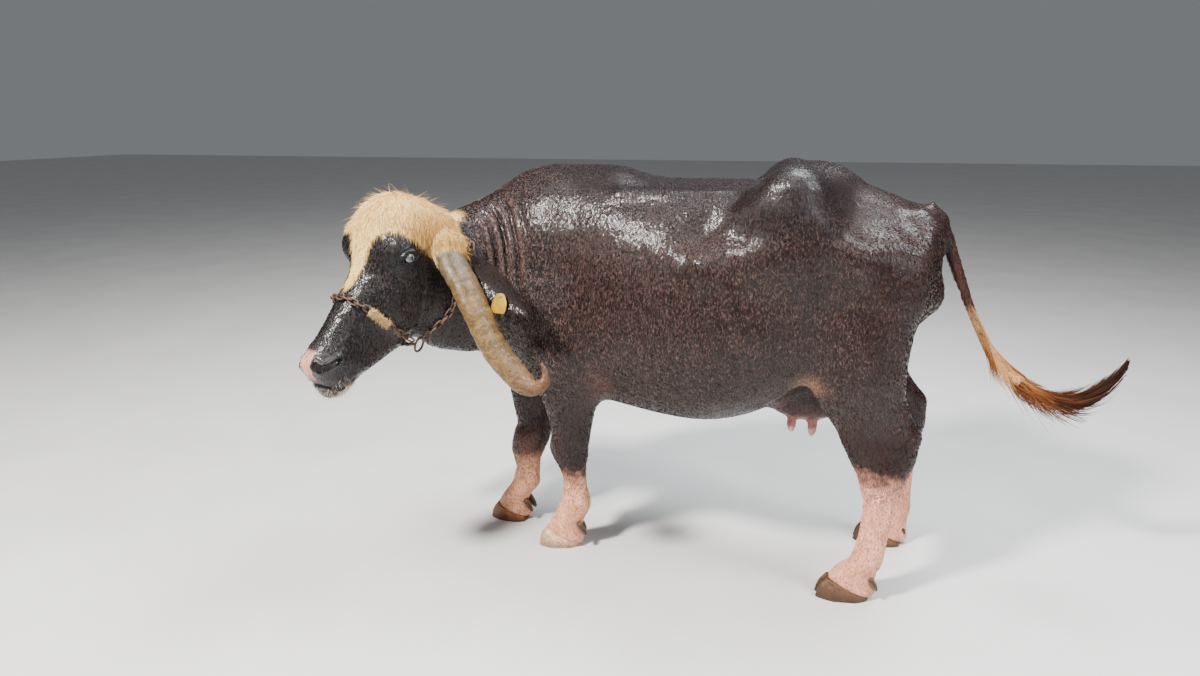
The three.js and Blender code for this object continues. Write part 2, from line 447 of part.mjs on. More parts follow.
// a cut leaves some corners very close together: each such edge is closed up, keeping the surface whole
function tidy(mesh, short) {
  let V = mesh.verts, F = mesh.tris.map((t) => [...t]);
  for (let pass = 0; pass < 12; pass++) {
    const fans = V.map(() => []);
    F.forEach((t, i) => t.forEach((v) => fans[v].push(i)));
    const locked = new Set(), to = new Map();
    const near = (v) => { const r = new Set(); for (const f of fans[v]) for (const w of F[f]) if (w !== v) r.add(w); return r; };
    const edges = [];
    for (const t of F) for (let k = 0; k < 3; k++) { const a = t[k], b = t[(k + 1) % 3], l = len(sub(V[a], V[b])); if (a < b && l < short) edges.push([l, a, b]); }
    edges.sort((p, q) => p[0] - q[0]);
    let done = 0;
    for (const [, a, b] of edges) {
      if (locked.has(a) || locked.has(b)) continue;
      const ra = near(a), rb = near(b);
      let shared = 0;
      for (const w of ra) if (rb.has(w)) shared++;
      if (shared !== 2 || ra.size + rb.size - 4 < 3) continue;
      let pick = -1, worst = -0.2;
      for (const [from, keep] of [[a, b], [b, a]]) {
        let low = 1;
        for (const f of fans[from]) {
          if (F[f].includes(keep)) continue;
          const old = F[f].map((w) => V[w]), now = F[f].map((w) => (w === from ? V[keep] : V[w]));
          const n0 = cross(sub(old[1], old[0]), sub(old[2], old[0])), n1 = cross(sub(now[1], now[0]), sub(now[2], now[0]));
          if (len(n0) > 1e-3) low = Math.min(low, dot(n0, n1) / Math.max(len(n0) * len(n1), 1e-9));
        }
        if (low > worst) { worst = low; pick = from; }
      }
      if (pick < 0) continue;
      to.set(pick, pick === a ? b : a);
      for (const w of [a, b, ...ra, ...rb]) locked.add(w);
      done++;
    }
    if (!done) break;
    F = F.map((t) => t.map((v) => (to.has(v) ? to.get(v) : v))).filter((t) => t[0] !== t[1] && t[1] !== t[2] && t[0] !== t[2]);
  }
  const map = new Map(), verts = [];
  const tris = F.map((t) => t.map((v) => { if (!map.has(v)) { map.set(v, verts.length); verts.push(V[v]); } return map.get(v); }));
  return { verts, tris };
}

const parts = new Map();
const put = (name, s, colour, roughness, metalness = 0) => parts.set(name, { s: solid(tidy(meshOf(s), 1.2)), colour, roughness, metalness });

const FEET = [
  ["left_fore", [-505, -79], Math.PI + 0.22, 152, 46, FETLOCK_FORE, [-408, -90]],
  ["right_fore", [-757, 78], Math.PI - 0.05, 148, 45, FETLOCK_FORE - 15, [-662, 72]],
  ["left_hind", [520, -206], Math.PI + 0.10, 168, 47, FETLOCK_HIND, [620, -210]],
  ["right_hind", [675, 206], Math.PI - 0.10, 168, 47, FETLOCK_HIND, [766, 210]],
];

// ------------------------------------------------------------------ flesh and its cuts
const body = thin(surface([-1330, -800, 0], [900, 480, 1500], CELL), BODY_TRIANGLES);
const bodySolid = solid(body).intersect(block(-3000, 3000, -2000, 2000, 10, 3000));
const bodyFat = solid(swollen(body, GAP + 0.4));
const NECK_HEAD = { at: [-905, -152, 1100], n: [0.38, 0.81, -0.444] };
const TRUNK_NECK = { at: [-640, -10, 1020], n: [0.93, 0.3, 0.22] };
const headSide = behind(NECK_HEAD.at, NECK_HEAD.n, -GAP), notHead = behind(NECK_HEAD.at, mul(NECK_HEAD.n, -1));
const neckSide = behind(TRUNK_NECK.at, TRUNK_NECK.n, -GAP), notNeck = behind(TRUNK_NECK.at, mul(TRUNK_NECK.n, -1));
const ELBOW = 640, KNEE = 395, STIFLE_TOP = 930, HOCK = 540, UDDER_TOP = 650, UDDER_HALF = 106;
const foreBox = (s, g) => (s < 0 ? block(-620 - g, -330 + g, -600, -36 + g, 0, ELBOW + g) : block(-830 - g, -440 + g, 12 - g, 600, 0, ELBOW + g));
const hindBox = (s, g) => {
  const y = (a) => (s < 0 ? [-600, -a + g] : [a - g, 600]);
  return block(300 - g, 515, ...y(UDDER_HALF), 0, STIFLE_TOP + g).add(block(500, 1000, ...y(24), 0, STIFLE_TOP + g));
};
const udderBox = (g) => block(190, 540, -UDDER_HALF + GAP - g + 0, UDDER_HALF - GAP + g, 0, UDDER_TOP + g);
const SKIN = 0x3b3133, PINK = 0xd9ac9c, HORN = 0x9a7746, CREAM = 0xd8b884, DARK = 0x1d1a1c;
// the head's eyes sit in sockets
const eyeAt = [-1, 1].map((s) => settle(onHead(EYE[0], EYE[1], s * EYE[2]), 0, 30, 6)).map((p) => add(p, mul(unit(slopeOf(p)[1]), -(EYE_RADIUS - 7))));
const eyeMesh = (c, r) => solid(moved(ofGeometry(new THREE.SphereGeometry(r, 12, 7)), (v) => add(v, c)));
let head = bodySolid.intersect(headSide);
for (const c of eyeAt) head = head.subtract(eyeMesh(c, EYE_RADIUS + 2 * GAP));
put("head", largest(head), DARK, 0.5);
eyeAt.forEach((c, i) => put(i ? "eye_left" : "eye_right", eyeMesh(c, EYE_RADIUS), 0xb9c0c2, 0.1));
let rest = bodySolid.intersect(notHead);
put("neck", largest(rest.intersect(neckSide).subtract(foreBox(-1, GAP)).subtract(foreBox(1, GAP))), SKIN, 0.45);
const legs = [["left_fore", foreBox(-1, 0), KNEE], ["right_fore", foreBox(1, 0), KNEE - 35], ["left_hind", hindBox(-1, 0), HOCK], ["right_hind", hindBox(1, 0), HOCK]];
for (const [name, box, cut] of legs) {
  const [, foot, aim] = FEET.find((f) => f[0] === name), under = behind([...foot, CORONET], unit([-CORONET_RISE * Math.cos(aim), -CORONET_RISE * Math.sin(aim), 1]));
  const whole = rest.intersect(box).subtract(under);
  put("leg_" + name + "_upper", largest(whole.intersect(block(-3000, 3000, -2000, 2000, cut + GAP, 3000))), SKIN, 0.45);
  put("leg_" + name + "_lower", largest(whole.intersect(block(-3000, 3000, -2000, 2000, 0, cut))), PINK, 0.6);
}
put("udder", largest(rest.intersect(udderBox(0)).intersect(block(190, 540, -300, 300, 0, UDDER_TOP))), 0x6b4038, 0.5);
let trunk = rest.intersect(notNeck);
for (const s of [-1, 1]) trunk = trunk.subtract(foreBox(s, GAP)).subtract(hindBox(s, GAP));
put("trunk", largest(trunk.subtract(udderBox(GAP))), SKIN, 0.4);

// ------------------------------------------------------------------ horns: rows [x, y, z, broad half, thick half]
const LEFT_HORN = [[-813, -306, 1157, 52, 38], [-768, -354, 1098, 52, 37], [-728, -381, 1051, 52, 37], [-691, -407, 997, 51, 36], [-659, -425, 948, 49, 35], [-623, -441, 888, 49, 34], [-582, -450, 832, 47, 34], [-543, -452, 790, 46, 32], [-510, -451, 758, 42, 30], [-475, -443, 746, 34, 25], [-449, -436, 766, 20, 15], [-448, -430, 794, 12, 10], [-462, -429, 822, 4, 4]];
const RIGHT_HORN = [[-1086, -158, 1145, 50, 37], [-1116, -195, 1107, 50, 36], [-1136, -211, 1072, 50, 36], [-1156, -230, 1027, 49, 35], [-1171, -245, 985, 48, 34], [-1187, -260, 933, 48, 33], [-1199, -271, 881, 46, 33], [-1204, -278, 835, 45, 31], [-1192, -289, 795, 41, 29], [-1169, -292, 787, 33, 24], [-1152, -293, 807, 19, 15], [-1146, -287, 829, 12, 10], [-1145, -289, 853, 4, 4]];
const ACROSS = unit(add(mul(ALONG, 0.6), mul(OUT, 0.8))); // the broad way of a horn's section
function horn(rows, d = 0) {
  const q = along(rows, 15), T = tangents(q), rings = [];
  for (let i = 0; i < q.length; i++) {
    const b = unit(sub(ACROSS, mul(T[i], dot(ACROSS, T[i])))), c = cross(T[i], b);
    rings.push(ringAt(q[i].slice(0, 3), b, c, q[i][3] + d, q[i][4] + d, 8));
  }
  return loft(rings);
}
const horns = { left: horn(LEFT_HORN), right: horn(RIGHT_HORN) }, fatHorns = { left: horn(LEFT_HORN, GAP + 0.2), right: horn(RIGHT_HORN, GAP + 0.2) };
for (const s of ["left", "right"]) put("horn_" + s, largest(solid(horns[s]).subtract(bodyFat)), HORN, 0.35);

// ------------------------------------------------------------------ ears: a cupped leaf, root to tip
const EAR_WIDE = 54, EAR_CUP = 17, EAR_THICK = 9;
const EARS = {
  left: { root: [-772, -318, 1118], tip: [-500, -428, 994], face: [-0.35, -0.80, 0.30] },
};
{
  EARS.left.root = settle(EARS.left.root, -8, 40, 6);
  const m = (p) => { const q = inHead(p); return onHead(q[0], q[1], -q[2]); }, v = (d) => { const q = [dot(d, ALONG), dot(d, OUT), dot(d, LEFT)]; return add(mul(ALONG, q[0]), add(mul(OUT, q[1]), mul(LEFT, -q[2]))); };
  const root = settle(m(EARS.left.root), -8, 40, 6), swing = unit([0.15, 0.88, -0.45]); // the right ear is laid further back
  EARS.right = { root, tip: add(root, mul(swing, 285)), face: v(EARS.left.face) };
}
function earPoint(e, t, v, side, swell = 0) { // t root to tip, v across -1..1, side +1 on the hollow face
  const a = unit(sub(e.tip, e.root)), f = unit(sub(e.face, mul(a, dot(e.face, a)))), b = cross(a, f), L = len(sub(e.tip, e.root));
  const w = EAR_WIDE * Math.min(1, 0.52 + 1.5 * t) * Math.max(0, 1 - t ** 2.8) ** 0.72 + swell;
  const cup = EAR_CUP * (1 - v * v) * (1 - 0.5 * t) + 26 * Math.sin(Math.PI * t) * 0.35, thick = (EAR_THICK * (1 - 0.55 * v * v) * (1 - 0.45 * t)) / 2 + swell;
  const droop = -18 * t * t;
  return add(add(e.root, mul(a, L * t)), add(mul(b, w * v), add(mul(f, -cup + side * thick), [0, 0, droop])));
}
function ear(e, swell = 0) {
  const rings = [], T = [0, 0.14, 0.34, 0.56, 0.76, 0.9, 0.985], A = [-1, -0.45, 0.0, 0.45, 1];
  for (const t of T) rings.push([...A.map((v) => earPoint(e, t, v, 1, swell)), ...[...A].reverse().map((v) => earPoint(e, t, v, -1, swell))]);
  return loft(rings);
}
for (const s of ["left", "right"]) put("ear_" + s, largest(solid(ear(EARS[s])).subtract(bodyFat).subtract(solid(fatHorns[s]))), SKIN, 0.55);

// ------------------------------------------------------------------ tag: plate and pin on the left ear
{
  const e = EARS.left, c = earPoint(e, 0.645, 0.30, 1), up = unit(sub([0.15, 0.35, 1], mul(unit(e.face), dot([0.15, 0.35, 1], unit(e.face))))), f = unit(e.face), r = cross(up, f);
  const place = (v) => add(c, add(mul(r, v[0]), add(mul(up, v[1]), mul(f, v[2]))));
  const shape = new THREE.Shape();
  const [w, h, th] = TAG, k = 9;
  shape.moveTo(-w / 2 + k, -h); shape.lineTo(w / 2 - k, -h); shape.lineTo(w / 2, -h + k); shape.lineTo(w / 2, -h * 0.35); shape.lineTo(w * 0.2, 6); shape.lineTo(-w * 0.2, 6); shape.lineTo(-w / 2, -h * 0.35); shape.lineTo(-w / 2, -h + k);
  const plate = ofGeometry(new THREE.ExtrudeGeometry(shape, { depth: th, bevelEnabled: false }).translate(0, 0, 9));
  const pin = ofGeometry(new THREE.CylinderGeometry(5, 5, 14, 10).rotateX(Math.PI / 2).translate(0, -4, 7.5));
  put("ear_tag", largest(solid(moved(plate, place)).add(solid(moved(pin, place))).subtract(solid(ear(e, GAP)))), 0xe3c62c, 0.45);
}

// ------------------------------------------------------------------ claws and dewclaws
// a claw: rings from the ground to the coronet, toe pointing along `aim`
function claw(foot, aim, side, length, wide, toeIn) {
  const a = [Math.cos(aim), Math.sin(aim), 0], b = [-Math.sin(aim), Math.cos(aim), 0], rings = [];
  const levels = [[0, 1, 1, 0], [0.45, 0.94, 1.0, -4], [1, 0.76, 0.94, -12]];
  const outline = [[-0.42, 0.1], [-0.44, 0.6], [-0.2, 1.0], [0.22, 0.94], [0.5, 0.45], [0.55, 0.12], [0.35, 0.0], [-0.3, 0.0]];
  for (const [share, kl, kw, back] of levels)
    rings.push(outline.map(([u, v]) => {
      const c = side * (2 + v * wide * kw + (u > 0 ? toeIn * u * 10 : 0)), l = u * length * kl + back;
      return add([foot[0], foot[1], share * (CORONET + CORONET_RISE * l - 2 * GAP)], add(mul(a, l), mul(b, c)));
    }));
  return loft(rings);
}
for (const [name, foot, aim, length, wide, high, back] of FEET) {
  const lower = parts.get("leg_" + name + "_lower");
  for (const s of [-1, 1]) {
    const inner = (name.startsWith("left") ? -1 : 1) * s < 0 ? "inner" : "outer";
    put("claw_" + name + "_" + inner, solid(claw([...foot, 0], aim, s, length, wide, 1)), 0x6a4a2c, 0.4);
    const b = [-Math.sin(aim), Math.cos(aim), 0], r = [-Math.cos(aim), -Math.sin(aim), 0];
    const top = add([back[0], back[1], high - 30], mul(b, s * 22)), dir = unit(add(mul(r, 0.75), [0, 0, -0.9])), side = unit(cross(dir, [0, 0, 1])), up = cross(side, dir);
    const rings = [[-26, 15, 13], [14, 15, 13], [34, 7, 6]].map(([d, ra, rb]) => ringAt(add(top, mul(dir, d)), up, side, rb, ra, 6));
    put("dewclaw_" + name + "_" + inner, largest(solid(loft(rings)).subtract(bodyFat)), 0x7a5a3a, 0.45);
  }
}

// ------------------------------------------------------------------ tail: rows [x, y, z, half, half], in five lengths
const TAIL = [[690, 0, 1290, 30, 30], [722, 0, 1257, 30, 30], [757, 0, 1201, 26, 26], [793, 0, 1118, 22, 22], [825, 0, 1041, 19, 19], [858, 0, 966, 17, 17], [890, 5, 905, 16, 16], [926, 10, 843, 17, 17], [972, 15, 788, 22, 22], [1038, 20, 730, 27, 27], [1103, 20, 694, 29, 29], [1166, 20, 676, 26, 26], [1225, 20, 680, 21, 21], [1274, 20, 706, 16, 16], [1314, 20, 749, 11, 11], [1344, 20, 801, 5, 5]];
const TAIL_NAMES = ["tail_root", "tail_middle", "tail_lower", "tail_switch_upper", "tail_switch_tip"], TAIL_CUTS = [0, 0.2, 0.38, 0.52, 0.76, 1];
{
  const n = 52, q = along(TAIL, n), T = tangents(q);
  TAIL_NAMES.forEach((name, k) => {
    const i0 = Math.round(TAIL_CUTS[k] * (n - 1)), i1 = Math.round(TAIL_CUTS[k + 1] * (n - 1)), rings = [];
    for (let i = i0; i <= i1; i += 1) {
      if (i !== i0 && i !== i1 && (i - i0) % 2) continue;
      const s = [0, 1, 0], u = cross(s, T[i]);
      let c = q[i].slice(0, 3);
      if (i === i0 && k) c = add(c, mul(T[i], GAP));
      rings.push(ringAt(c, unit(u), s, q[i][3], q[i][4], 8));
    }
    put(name, largest(solid(loft(rings)).subtract(bodyFat)), [0x2c2224, 0x4a3430, CREAM, 0x8a5a34, 0x4a2e20][k], 0.6);
  });
}

// ------------------------------------------------------------------ chain halter with a jaw ring on each side
// a chain as one bar whose links are turned by a quarter from one to the next
function chain(points, off) {
  const curve = new THREE.CatmullRomCurve3(points.map((p) => new THREE.Vector3(...p))), L = curve.getLength(), n = Math.max(2, Math.round(L / CHAIN_LINK)), rings = [];
  for (let i = 0; i < n; i++)
    for (const f of [0.08, 0.5, 0.92]) {
      const t = (i + f) / n, p = curve.getPointAt(t), T = curve.getTangentAt(t), q = [p.x, p.y, p.z], tan = [T.x, T.y, T.z];
      const g = unit(slopeOf(q)[1]), out = unit(sub(g, mul(tan, dot(g, tan)))), side = cross(tan, out), wide = f === 0.5 ? 1 : 0.62;
      rings.push(i % 2 ? ringAt(q, out, side, CHAIN_THIN * (f === 0.5 ? 1 : 0.8), CHAIN_WIDE * wide, 4) : ringAt(q, out, side, CHAIN_WIDE * wide * 0.8, CHAIN_THIN * (f === 0.5 ? 1 : 0.8), 4));
    }
  return loft(rings);
}
const OFF = CHAIN_WIDE + 1.5;
const ringCentre = (s) => onHead(405, -280, s * 100);
const rings = { left: ringCentre(1), right: ringCentre(-1) };
const ringSolid = (c, s, r = 0) => {
  const q = new THREE.Quaternion().setFromUnitVectors(new THREE.Vector3(0, 0, 1), new THREE.Vector3(...unit(add(mul(LEFT, s * 0.9), mul(OUT, -0.35)))));
  return solid(ofGeometry(new THREE.TorusGeometry(RING_RADIUS, RING_WIRE + r, 5, 14).applyQuaternion(q).translate(...c)));
};
const hug = (list) => list.map((p) => settle(p, OFF, 40, 5));
const toward = (c, p, d) => add(c, mul(unit(sub(p, c)), d));
for (const [name, s] of [["left", 1], ["right", -1]]) put("halter_ring_" + name, ringSolid(rings[name], s), 0x6b4a38, 0.6, 0.6);
{
  const nose = [], R = RING_RADIUS + RING_WIRE + 6;
  for (const [n, w] of [[-215, 88], [-165, 92], [-110, 90], [-60, 84], [-18, 60]]) nose.push([n, w]);
  const left = nose.map(([n, w]) => onHead(400 - (n + 215) * 0.03, n, w)), right = nose.map(([n, w]) => onHead(400 - (n + 215) * 0.03, n, -w)).reverse();
  const band = hug([...left, onHead(391, 14, 0), ...right]);
  const l = toward(rings.left, band[0], R), r = toward(rings.right, band[band.length - 1], R);
  const all = [l, ...band, r], curve = new THREE.CatmullRomCurve3(all.map((p) => new THREE.Vector3(...p)));
  const part = (a, b, n) => Array.from({ length: n }, (_, i) => { const p = curve.getPointAt(a + ((b - a) * i) / (n - 1)); return [p.x, p.y, p.z]; });
  const W0 = 0.20, W1 = 0.325;
  put("halter_nose_left", largest(solid(chain(part(0, W0, 8))).subtract(bodyFat)), 0x7a5240, 0.65, 0.6);
  put("halter_nose_band", largest(solid(chain(part(W1, 1, 22))).subtract(bodyFat)), 0x7a5240, 0.65, 0.6);
  const w = part(W0 + 0.006, W1 - 0.006, 9), T = tangents(w), wr = w.map((p, i) => {
    const g = unit(slopeOf(p)[1]), out = unit(sub(g, mul(T[i], dot(g, T[i])))), side = cross(T[i], out), k = [11, 15, 13, 16, 13, 15, 13, 15, 10][i];
    return ringAt(p, out, side, k * 0.85, k, 8);
  });
  put("halter_rope_wrap", largest(solid(loft(wr)).subtract(bodyFat)), 0xb09a7a, 0.95);
  const under = hug([onHead(414, -285, 40), onHead(416, -300, 0), onHead(414, -285, -40)]);
  put("halter_chin", largest(solid(chain([toward(rings.left, under[0], R), ...under, toward(rings.right, under[2], R)])).subtract(bodyFat)), 0x7a5240, 0.65, 0.6);
  const up = (s) => hug([onHead(340, -285, s * 108), onHead(270, -285, s * 125), onHead(205, -275, s * 140), onHead(150, -262, s * 145), onHead(95, -262, s * 130), onHead(50, -262, s * 95)]);
  const L = up(1), Rr = up(-1).reverse(), top = hug([onHead(28, -250, 45), onHead(18, -248, 0), onHead(28, -250, -45)]);
  put("halter_head", largest(solid(chain([toward(rings.left, L[0], R), ...L, ...top, ...Rr, toward(rings.right, Rr[Rr.length - 1], R)])).subtract(bodyFat)
    .subtract(solid(fatHorns.left)).subtract(solid(fatHorns.right)).subtract(solid(ear(EARS.left, GAP + 0.3))).subtract(solid(ear(EARS.right, GAP + 0.3)))), 0x7a5240, 0.65, 0.6);
}

// ------------------------------------------------------------------ scene graph, with the origin at the bottom centre
const group = new THREE.Group();
const box = new THREE.Box3();
for (const [name, { s, colour, roughness, metalness }] of parts) {
  const m = s.getMesh(), pos = new Float32Array(m.numVert * 3);
  for (let i = 0; i < m.numVert; i++) pos.set(m.vertProperties.subarray(i * m.numProp, i * m.numProp + 3), i * 3);
  const g = new THREE.BufferGeometry().setAttribute("position", new THREE.BufferAttribute(pos, 3)).setIndex(new THREE.BufferAttribute(new Uint32Array(m.triVerts), 1));
  g.computeVertexNormals();
  g.computeBoundingBox();
  box.union(g.boundingBox);
  const mesh = new THREE.Mesh(g, new THREE.MeshStandardMaterial({ color: colour, roughness, metalness }));
  mesh.name = name;
  group.add(mesh);
}
const shift = [-(box.min.x + box.max.x) / 2, -(box.min.y + box.max.y) / 2, -box.min.z];
for (const mesh of group.children) mesh.geometry.translate(...shift);
group.userData.shift = shift;
export default group;
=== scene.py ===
"""Looks of a standing water buffalo cow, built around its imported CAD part: one skin over all the flesh, a coat of
mesh tufts, long hair, horns, claws, eyes, a chain halter and an ear tag. Lengths inside are millimetres in a
working frame; SHIFT moves them to the part's frame, in metres."""

import math

import bpy
import numpy as np
from mathutils import Matrix, Vector

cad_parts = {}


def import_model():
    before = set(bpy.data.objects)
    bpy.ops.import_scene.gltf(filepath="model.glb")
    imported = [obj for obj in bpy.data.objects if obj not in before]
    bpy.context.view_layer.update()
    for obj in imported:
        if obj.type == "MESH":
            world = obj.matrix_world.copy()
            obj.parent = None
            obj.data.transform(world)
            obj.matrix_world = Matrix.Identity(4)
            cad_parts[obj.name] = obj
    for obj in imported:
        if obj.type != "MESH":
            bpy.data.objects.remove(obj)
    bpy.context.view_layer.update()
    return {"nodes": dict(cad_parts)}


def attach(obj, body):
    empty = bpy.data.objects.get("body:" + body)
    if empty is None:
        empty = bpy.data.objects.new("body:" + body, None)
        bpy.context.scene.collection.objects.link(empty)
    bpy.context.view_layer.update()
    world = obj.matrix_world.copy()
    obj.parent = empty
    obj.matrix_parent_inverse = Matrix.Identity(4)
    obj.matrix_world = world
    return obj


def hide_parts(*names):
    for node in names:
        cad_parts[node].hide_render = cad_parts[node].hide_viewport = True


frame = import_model()
SHIFT = np.array([-55.284, 149.292, 0.0])
rng = np.random.default_rng(7)


def world(p):
    return (np.asarray(p, float) + SHIFT) / 1000.0


# ------------------------------------------------------------------ camera, first
CAM = np.array([252.0, -2723.0, 1557.0])
TILT, TURN = math.radians(15.25), math.radians(12.9)
right = np.array([math.cos(TURN), math.sin(TURN), 0])
level = np.array([-math.sin(TURN), math.cos(TURN), 0])
look = level * math.cos(TILT) + np.array([0, 0, -math.sin(TILT)])
upv = level * math.sin(TILT) + np.array([0, 0, math.cos(TILT)])
cam_data = bpy.data.cameras.new("camera")
cam_data.lens, cam_data.sensor_width = 24.0, 36.0
cam_data.clip_end = 60
cam = bpy.data.objects.new("camera", cam_data)
m = Matrix.Identity(4)
for i in range(3):
    m[i][0], m[i][1], m[i][2], m[i][3] = right[i], upv[i], -look[i], world(CAM)[i]
cam.matrix_world = m
bpy.context.scene.collection.objects.link(cam)
bpy.context.scene.camera = cam

# ------------------------------------------------------------------ tables and small maths
def unit(v):
    v = np.asarray(v, float)
    return v / np.maximum(np.linalg.norm(v, axis=-1, keepdims=True), 1e-9)


def table(rows):
    rows = np.asarray(rows, float)
    x, y = rows[:, 0], rows[:, 1:]
    dx = np.diff(x)
    d = np.diff(y, axis=0) / dx[:, None]
    t = np.empty_like(y)
    t[0], t[-1] = d[0], d[-1]
    if len(x) > 2:
        t[1:-1] = (d[1:] * dx[:-1, None] + d[:-1] * dx[1:, None]) / (x[2:] - x[:-2])[:, None]

    def f(q):
        q = np.clip(np.asarray(q, float), x[0], x[-1])
        i = np.clip(np.searchsorted(x, q, side="right") - 1, 0, len(x) - 2)
        h = dx[i]
        s = ((q - x[i]) / h)[..., None]
        h = h[..., None]
        return y[i] * (1 + 2 * s) * (1 - s) ** 2 + t[i] * h * s * (1 - s) ** 2 + y[i + 1] * s * s * (3 - 2 * s) - t[i + 1] * h * s * s * (1 - s)

    return f


def smin(a, b, k):
    h = np.maximum(k - np.abs(a - b), 0) / k
    return np.minimum(a, b) - h * h * k * 0.25


def smax(a, b, k):
    return -smin(-a, -b, k)


def capped(d, w, r):
    a, b = d + r, w + r
    return np.minimum(np.maximum(a, b), 0) + np.hypot(np.maximum(a, 0), np.maximum(b, 0)) - r


def ellipse(u, v, a, b):
    k0, k1 = np.hypot(u / a, v / b), np.hypot(u / a**2, v / b**2)
    return k0 * (k0 - 1) / np.maximum(k1, 1e-9)


def step(x, a, b):
    t = np.clip((x - a) / (b - a), 0, 1)
    return t * t * (3 - 2 * t)


def line_distance(p, pts):
    """distance to a line through points, and how far along it (0..1)"""
    pts = np.asarray(pts, float)
    best = np.full(len(p), 1e9)
    at = np.zeros(len(p))
    for i in range(len(pts) - 1):
        ab = pts[i + 1] - pts[i]
        t = np.clip((p - pts[i]) @ ab / (ab @ ab), 0, 1)
        d = np.linalg.norm(p - pts[i] - t[:, None] * ab, axis=1)
        m = d < best
        best[m] = d[m]
        at[m] = (i + t[m]) / (len(pts) - 1)
    return best, at


# smooth noise of position, from a few turned sine waves
_wave = [(unit(rng.normal(size=3)), rng.uniform(0, 6.28)) for _ in range(24)]


def soft_noise(p, size, first=0, n=6):
    out = np.zeros(len(p))
    for i in range(n):
        d, ph = _wave[(first + i) % 24]
        out += np.sin((p @ d) * (2 * math.pi / size) * (1 + 0.37 * i) + ph + 2.1 * np.sin((p @ _wave[(first + i + 5) % 24][0]) * (2 * math.pi / size) * 0.6)) / (1 + 0.37 * i)
    return out / 2.6


# ------------------------------------------------------------------ the body's masses, as in the part
slope = math.radians(52.0)
hd = unit([-0.4242, -0.9056, 0])
ALONG = hd * math.cos(slope) + np.array([0, 0, -math.sin(slope)])
OUT = hd * math.sin(slope) + np.array([0, 0, math.cos(slope)])
LEFT = np.array([-hd[1], hd[0], 0])
HEAD = np.array([-981.0, -300.0, 1330.0])
HM = np.array([ALONG, OUT, LEFT])


def on_head(u, n, s):
    return HEAD + ALONG * u + OUT * n + LEFT * s


def in_head(p):
    return (p - HEAD) @ HM.T


def frame_of(long, up):
    a = unit(long)
    c = unit(np.cross(a, up))
    return np.array([a, np.cross(c, a), c])


def lin(r, g, b):
    c = np.array([r, g, b], float) / 255
    return np.where(c <= 0.04045, c / 12.92, ((c + 0.055) / 1.055) ** 2.4)


CORONET, RISE = 48.0, 0.42
FEET = [
    ("left_fore", (-505, -79), math.pi + 0.22, 152, 46, 116, (-408, -90), lin(206, 164, 132)),
    ("right_fore", (-757, 78), math.pi - 0.05, 148, 45, 101, (-662, 72), lin(132, 80, 44)),
    ("left_hind", (520, -206), math.pi + 0.10, 168, 47, 100, (620, -210), lin(92, 60, 34)),
    ("right_hind", (675, 206), math.pi - 0.10, 168, 47, 100, (766, 210), lin(96, 64, 38)),
]


class Ball:
    def __init__(self, c, r, blend, axes=None):
        self.c, self.r, self.m, self.blend = np.array(c, float), np.array(r, float), axes, blend
        R = max(r)
        self.lo, self.hi = self.c - R, self.c + R

    def f(self, p):
        q = p - self.c
        if self.m is not None:
            q = q @ self.m.T
        k0, k1 = np.linalg.norm(q / self.r, axis=1), np.linalg.norm(q / self.r**2, axis=1)
        return k0 * (k0 - 1) / np.maximum(k1, 1e-9)


class Rod:
    def __init__(self, line, r, blend):
        self.line, self.r, self.blend = np.array(line, float), r, blend
        self.lo, self.hi = self.line.min(0) - r, self.line.max(0) + r

    def f(self, p):
        return line_distance(p, self.line)[0] - self.r


class Leg:
    def __init__(self, rows, low, high, blend, mirror=False, shift=None):
        self.t, self.low, self.high, self.blend, self.mirror, self.shift = table(rows), low, high, blend, mirror, shift
        r = np.array(rows, float)
        x1 = r[:, 2].max() + (160 if shift else 0)
        y = sorted([(-1 if mirror else 1) * (r[:, 3] - r[:, 4]).min(), (-1 if mirror else 1) * (r[:, 3] + r[:, 4]).max()])
        self.lo, self.hi = np.array([r[:, 1].min(), y[0], low]), np.array([x1, y[1], high])

    def f(self, p):
        z = np.clip(p[:, 2], self.low, self.high)
        v = self.t(z)
        xf, xr, yc, b = v.T
        if self.shift:
            s = self.shift(z)[:, 0]
            xf, xr = xf + s, xr + s
        d = ellipse(p[:, 0] - (xf + xr) / 2, (-p[:, 1] if self.mirror else p[:, 1]) - yc, (xr - xf) / 2, b)
        return capped(d, np.maximum(self.low - p[:, 2], p[:, 2] - self.high), 25)


class Sections:
    """sections across a straight axis; rows [along, top, bottom, half width, level of the widest, exponents above and below]"""

    def __init__(self, rows, r, blend, inner, head=False):
        self.t, self.r, self.blend, self.inner, self.head = table(rows), r, blend, inner, head
        self.a, self.b = rows[0][0], rows[-1][0]
        if head:
            c = np.array([on_head(u, n, s) for u in (self.a, self.b) for n in (30, -290) for s in (-130, 130)])
            self.lo, self.hi = c.min(0), c.max(0)
        else:
            self.lo, self.hi = np.array([self.a, -360, 540.0]), np.array([self.b, 360, 1415.0])

    def f(self, p):
        q = in_head(p) if self.head else p
        u, n, s = (q[:, 0], q[:, 1], q[:, 2]) if self.head else (q[:, 0], q[:, 2], q[:, 1])
        top, bot, w, wz, na, nb = self.t(u).T
        up = n > wz
        v = np.abs(s) / w
        h = np.maximum(np.where(up, (n - wz) / (top - wz), (wz - n) / (wz - bot)), 1e-6)
        e = np.where(up, na, nb)
        k = np.maximum((v**e + h**e) ** (1 / e), 1e-4)
        rad = np.hypot(s, n - wz)
        deep = -np.minimum(w, 60) if self.head else -np.minimum(w, top - wz)
        d = np.where(k > 0.15, rad - rad / k, deep)
        d = np.maximum(d, -np.minimum(w, 60 if self.head else 200))
        return capped(d, np.maximum(self.a - u, u - self.b), self.r)


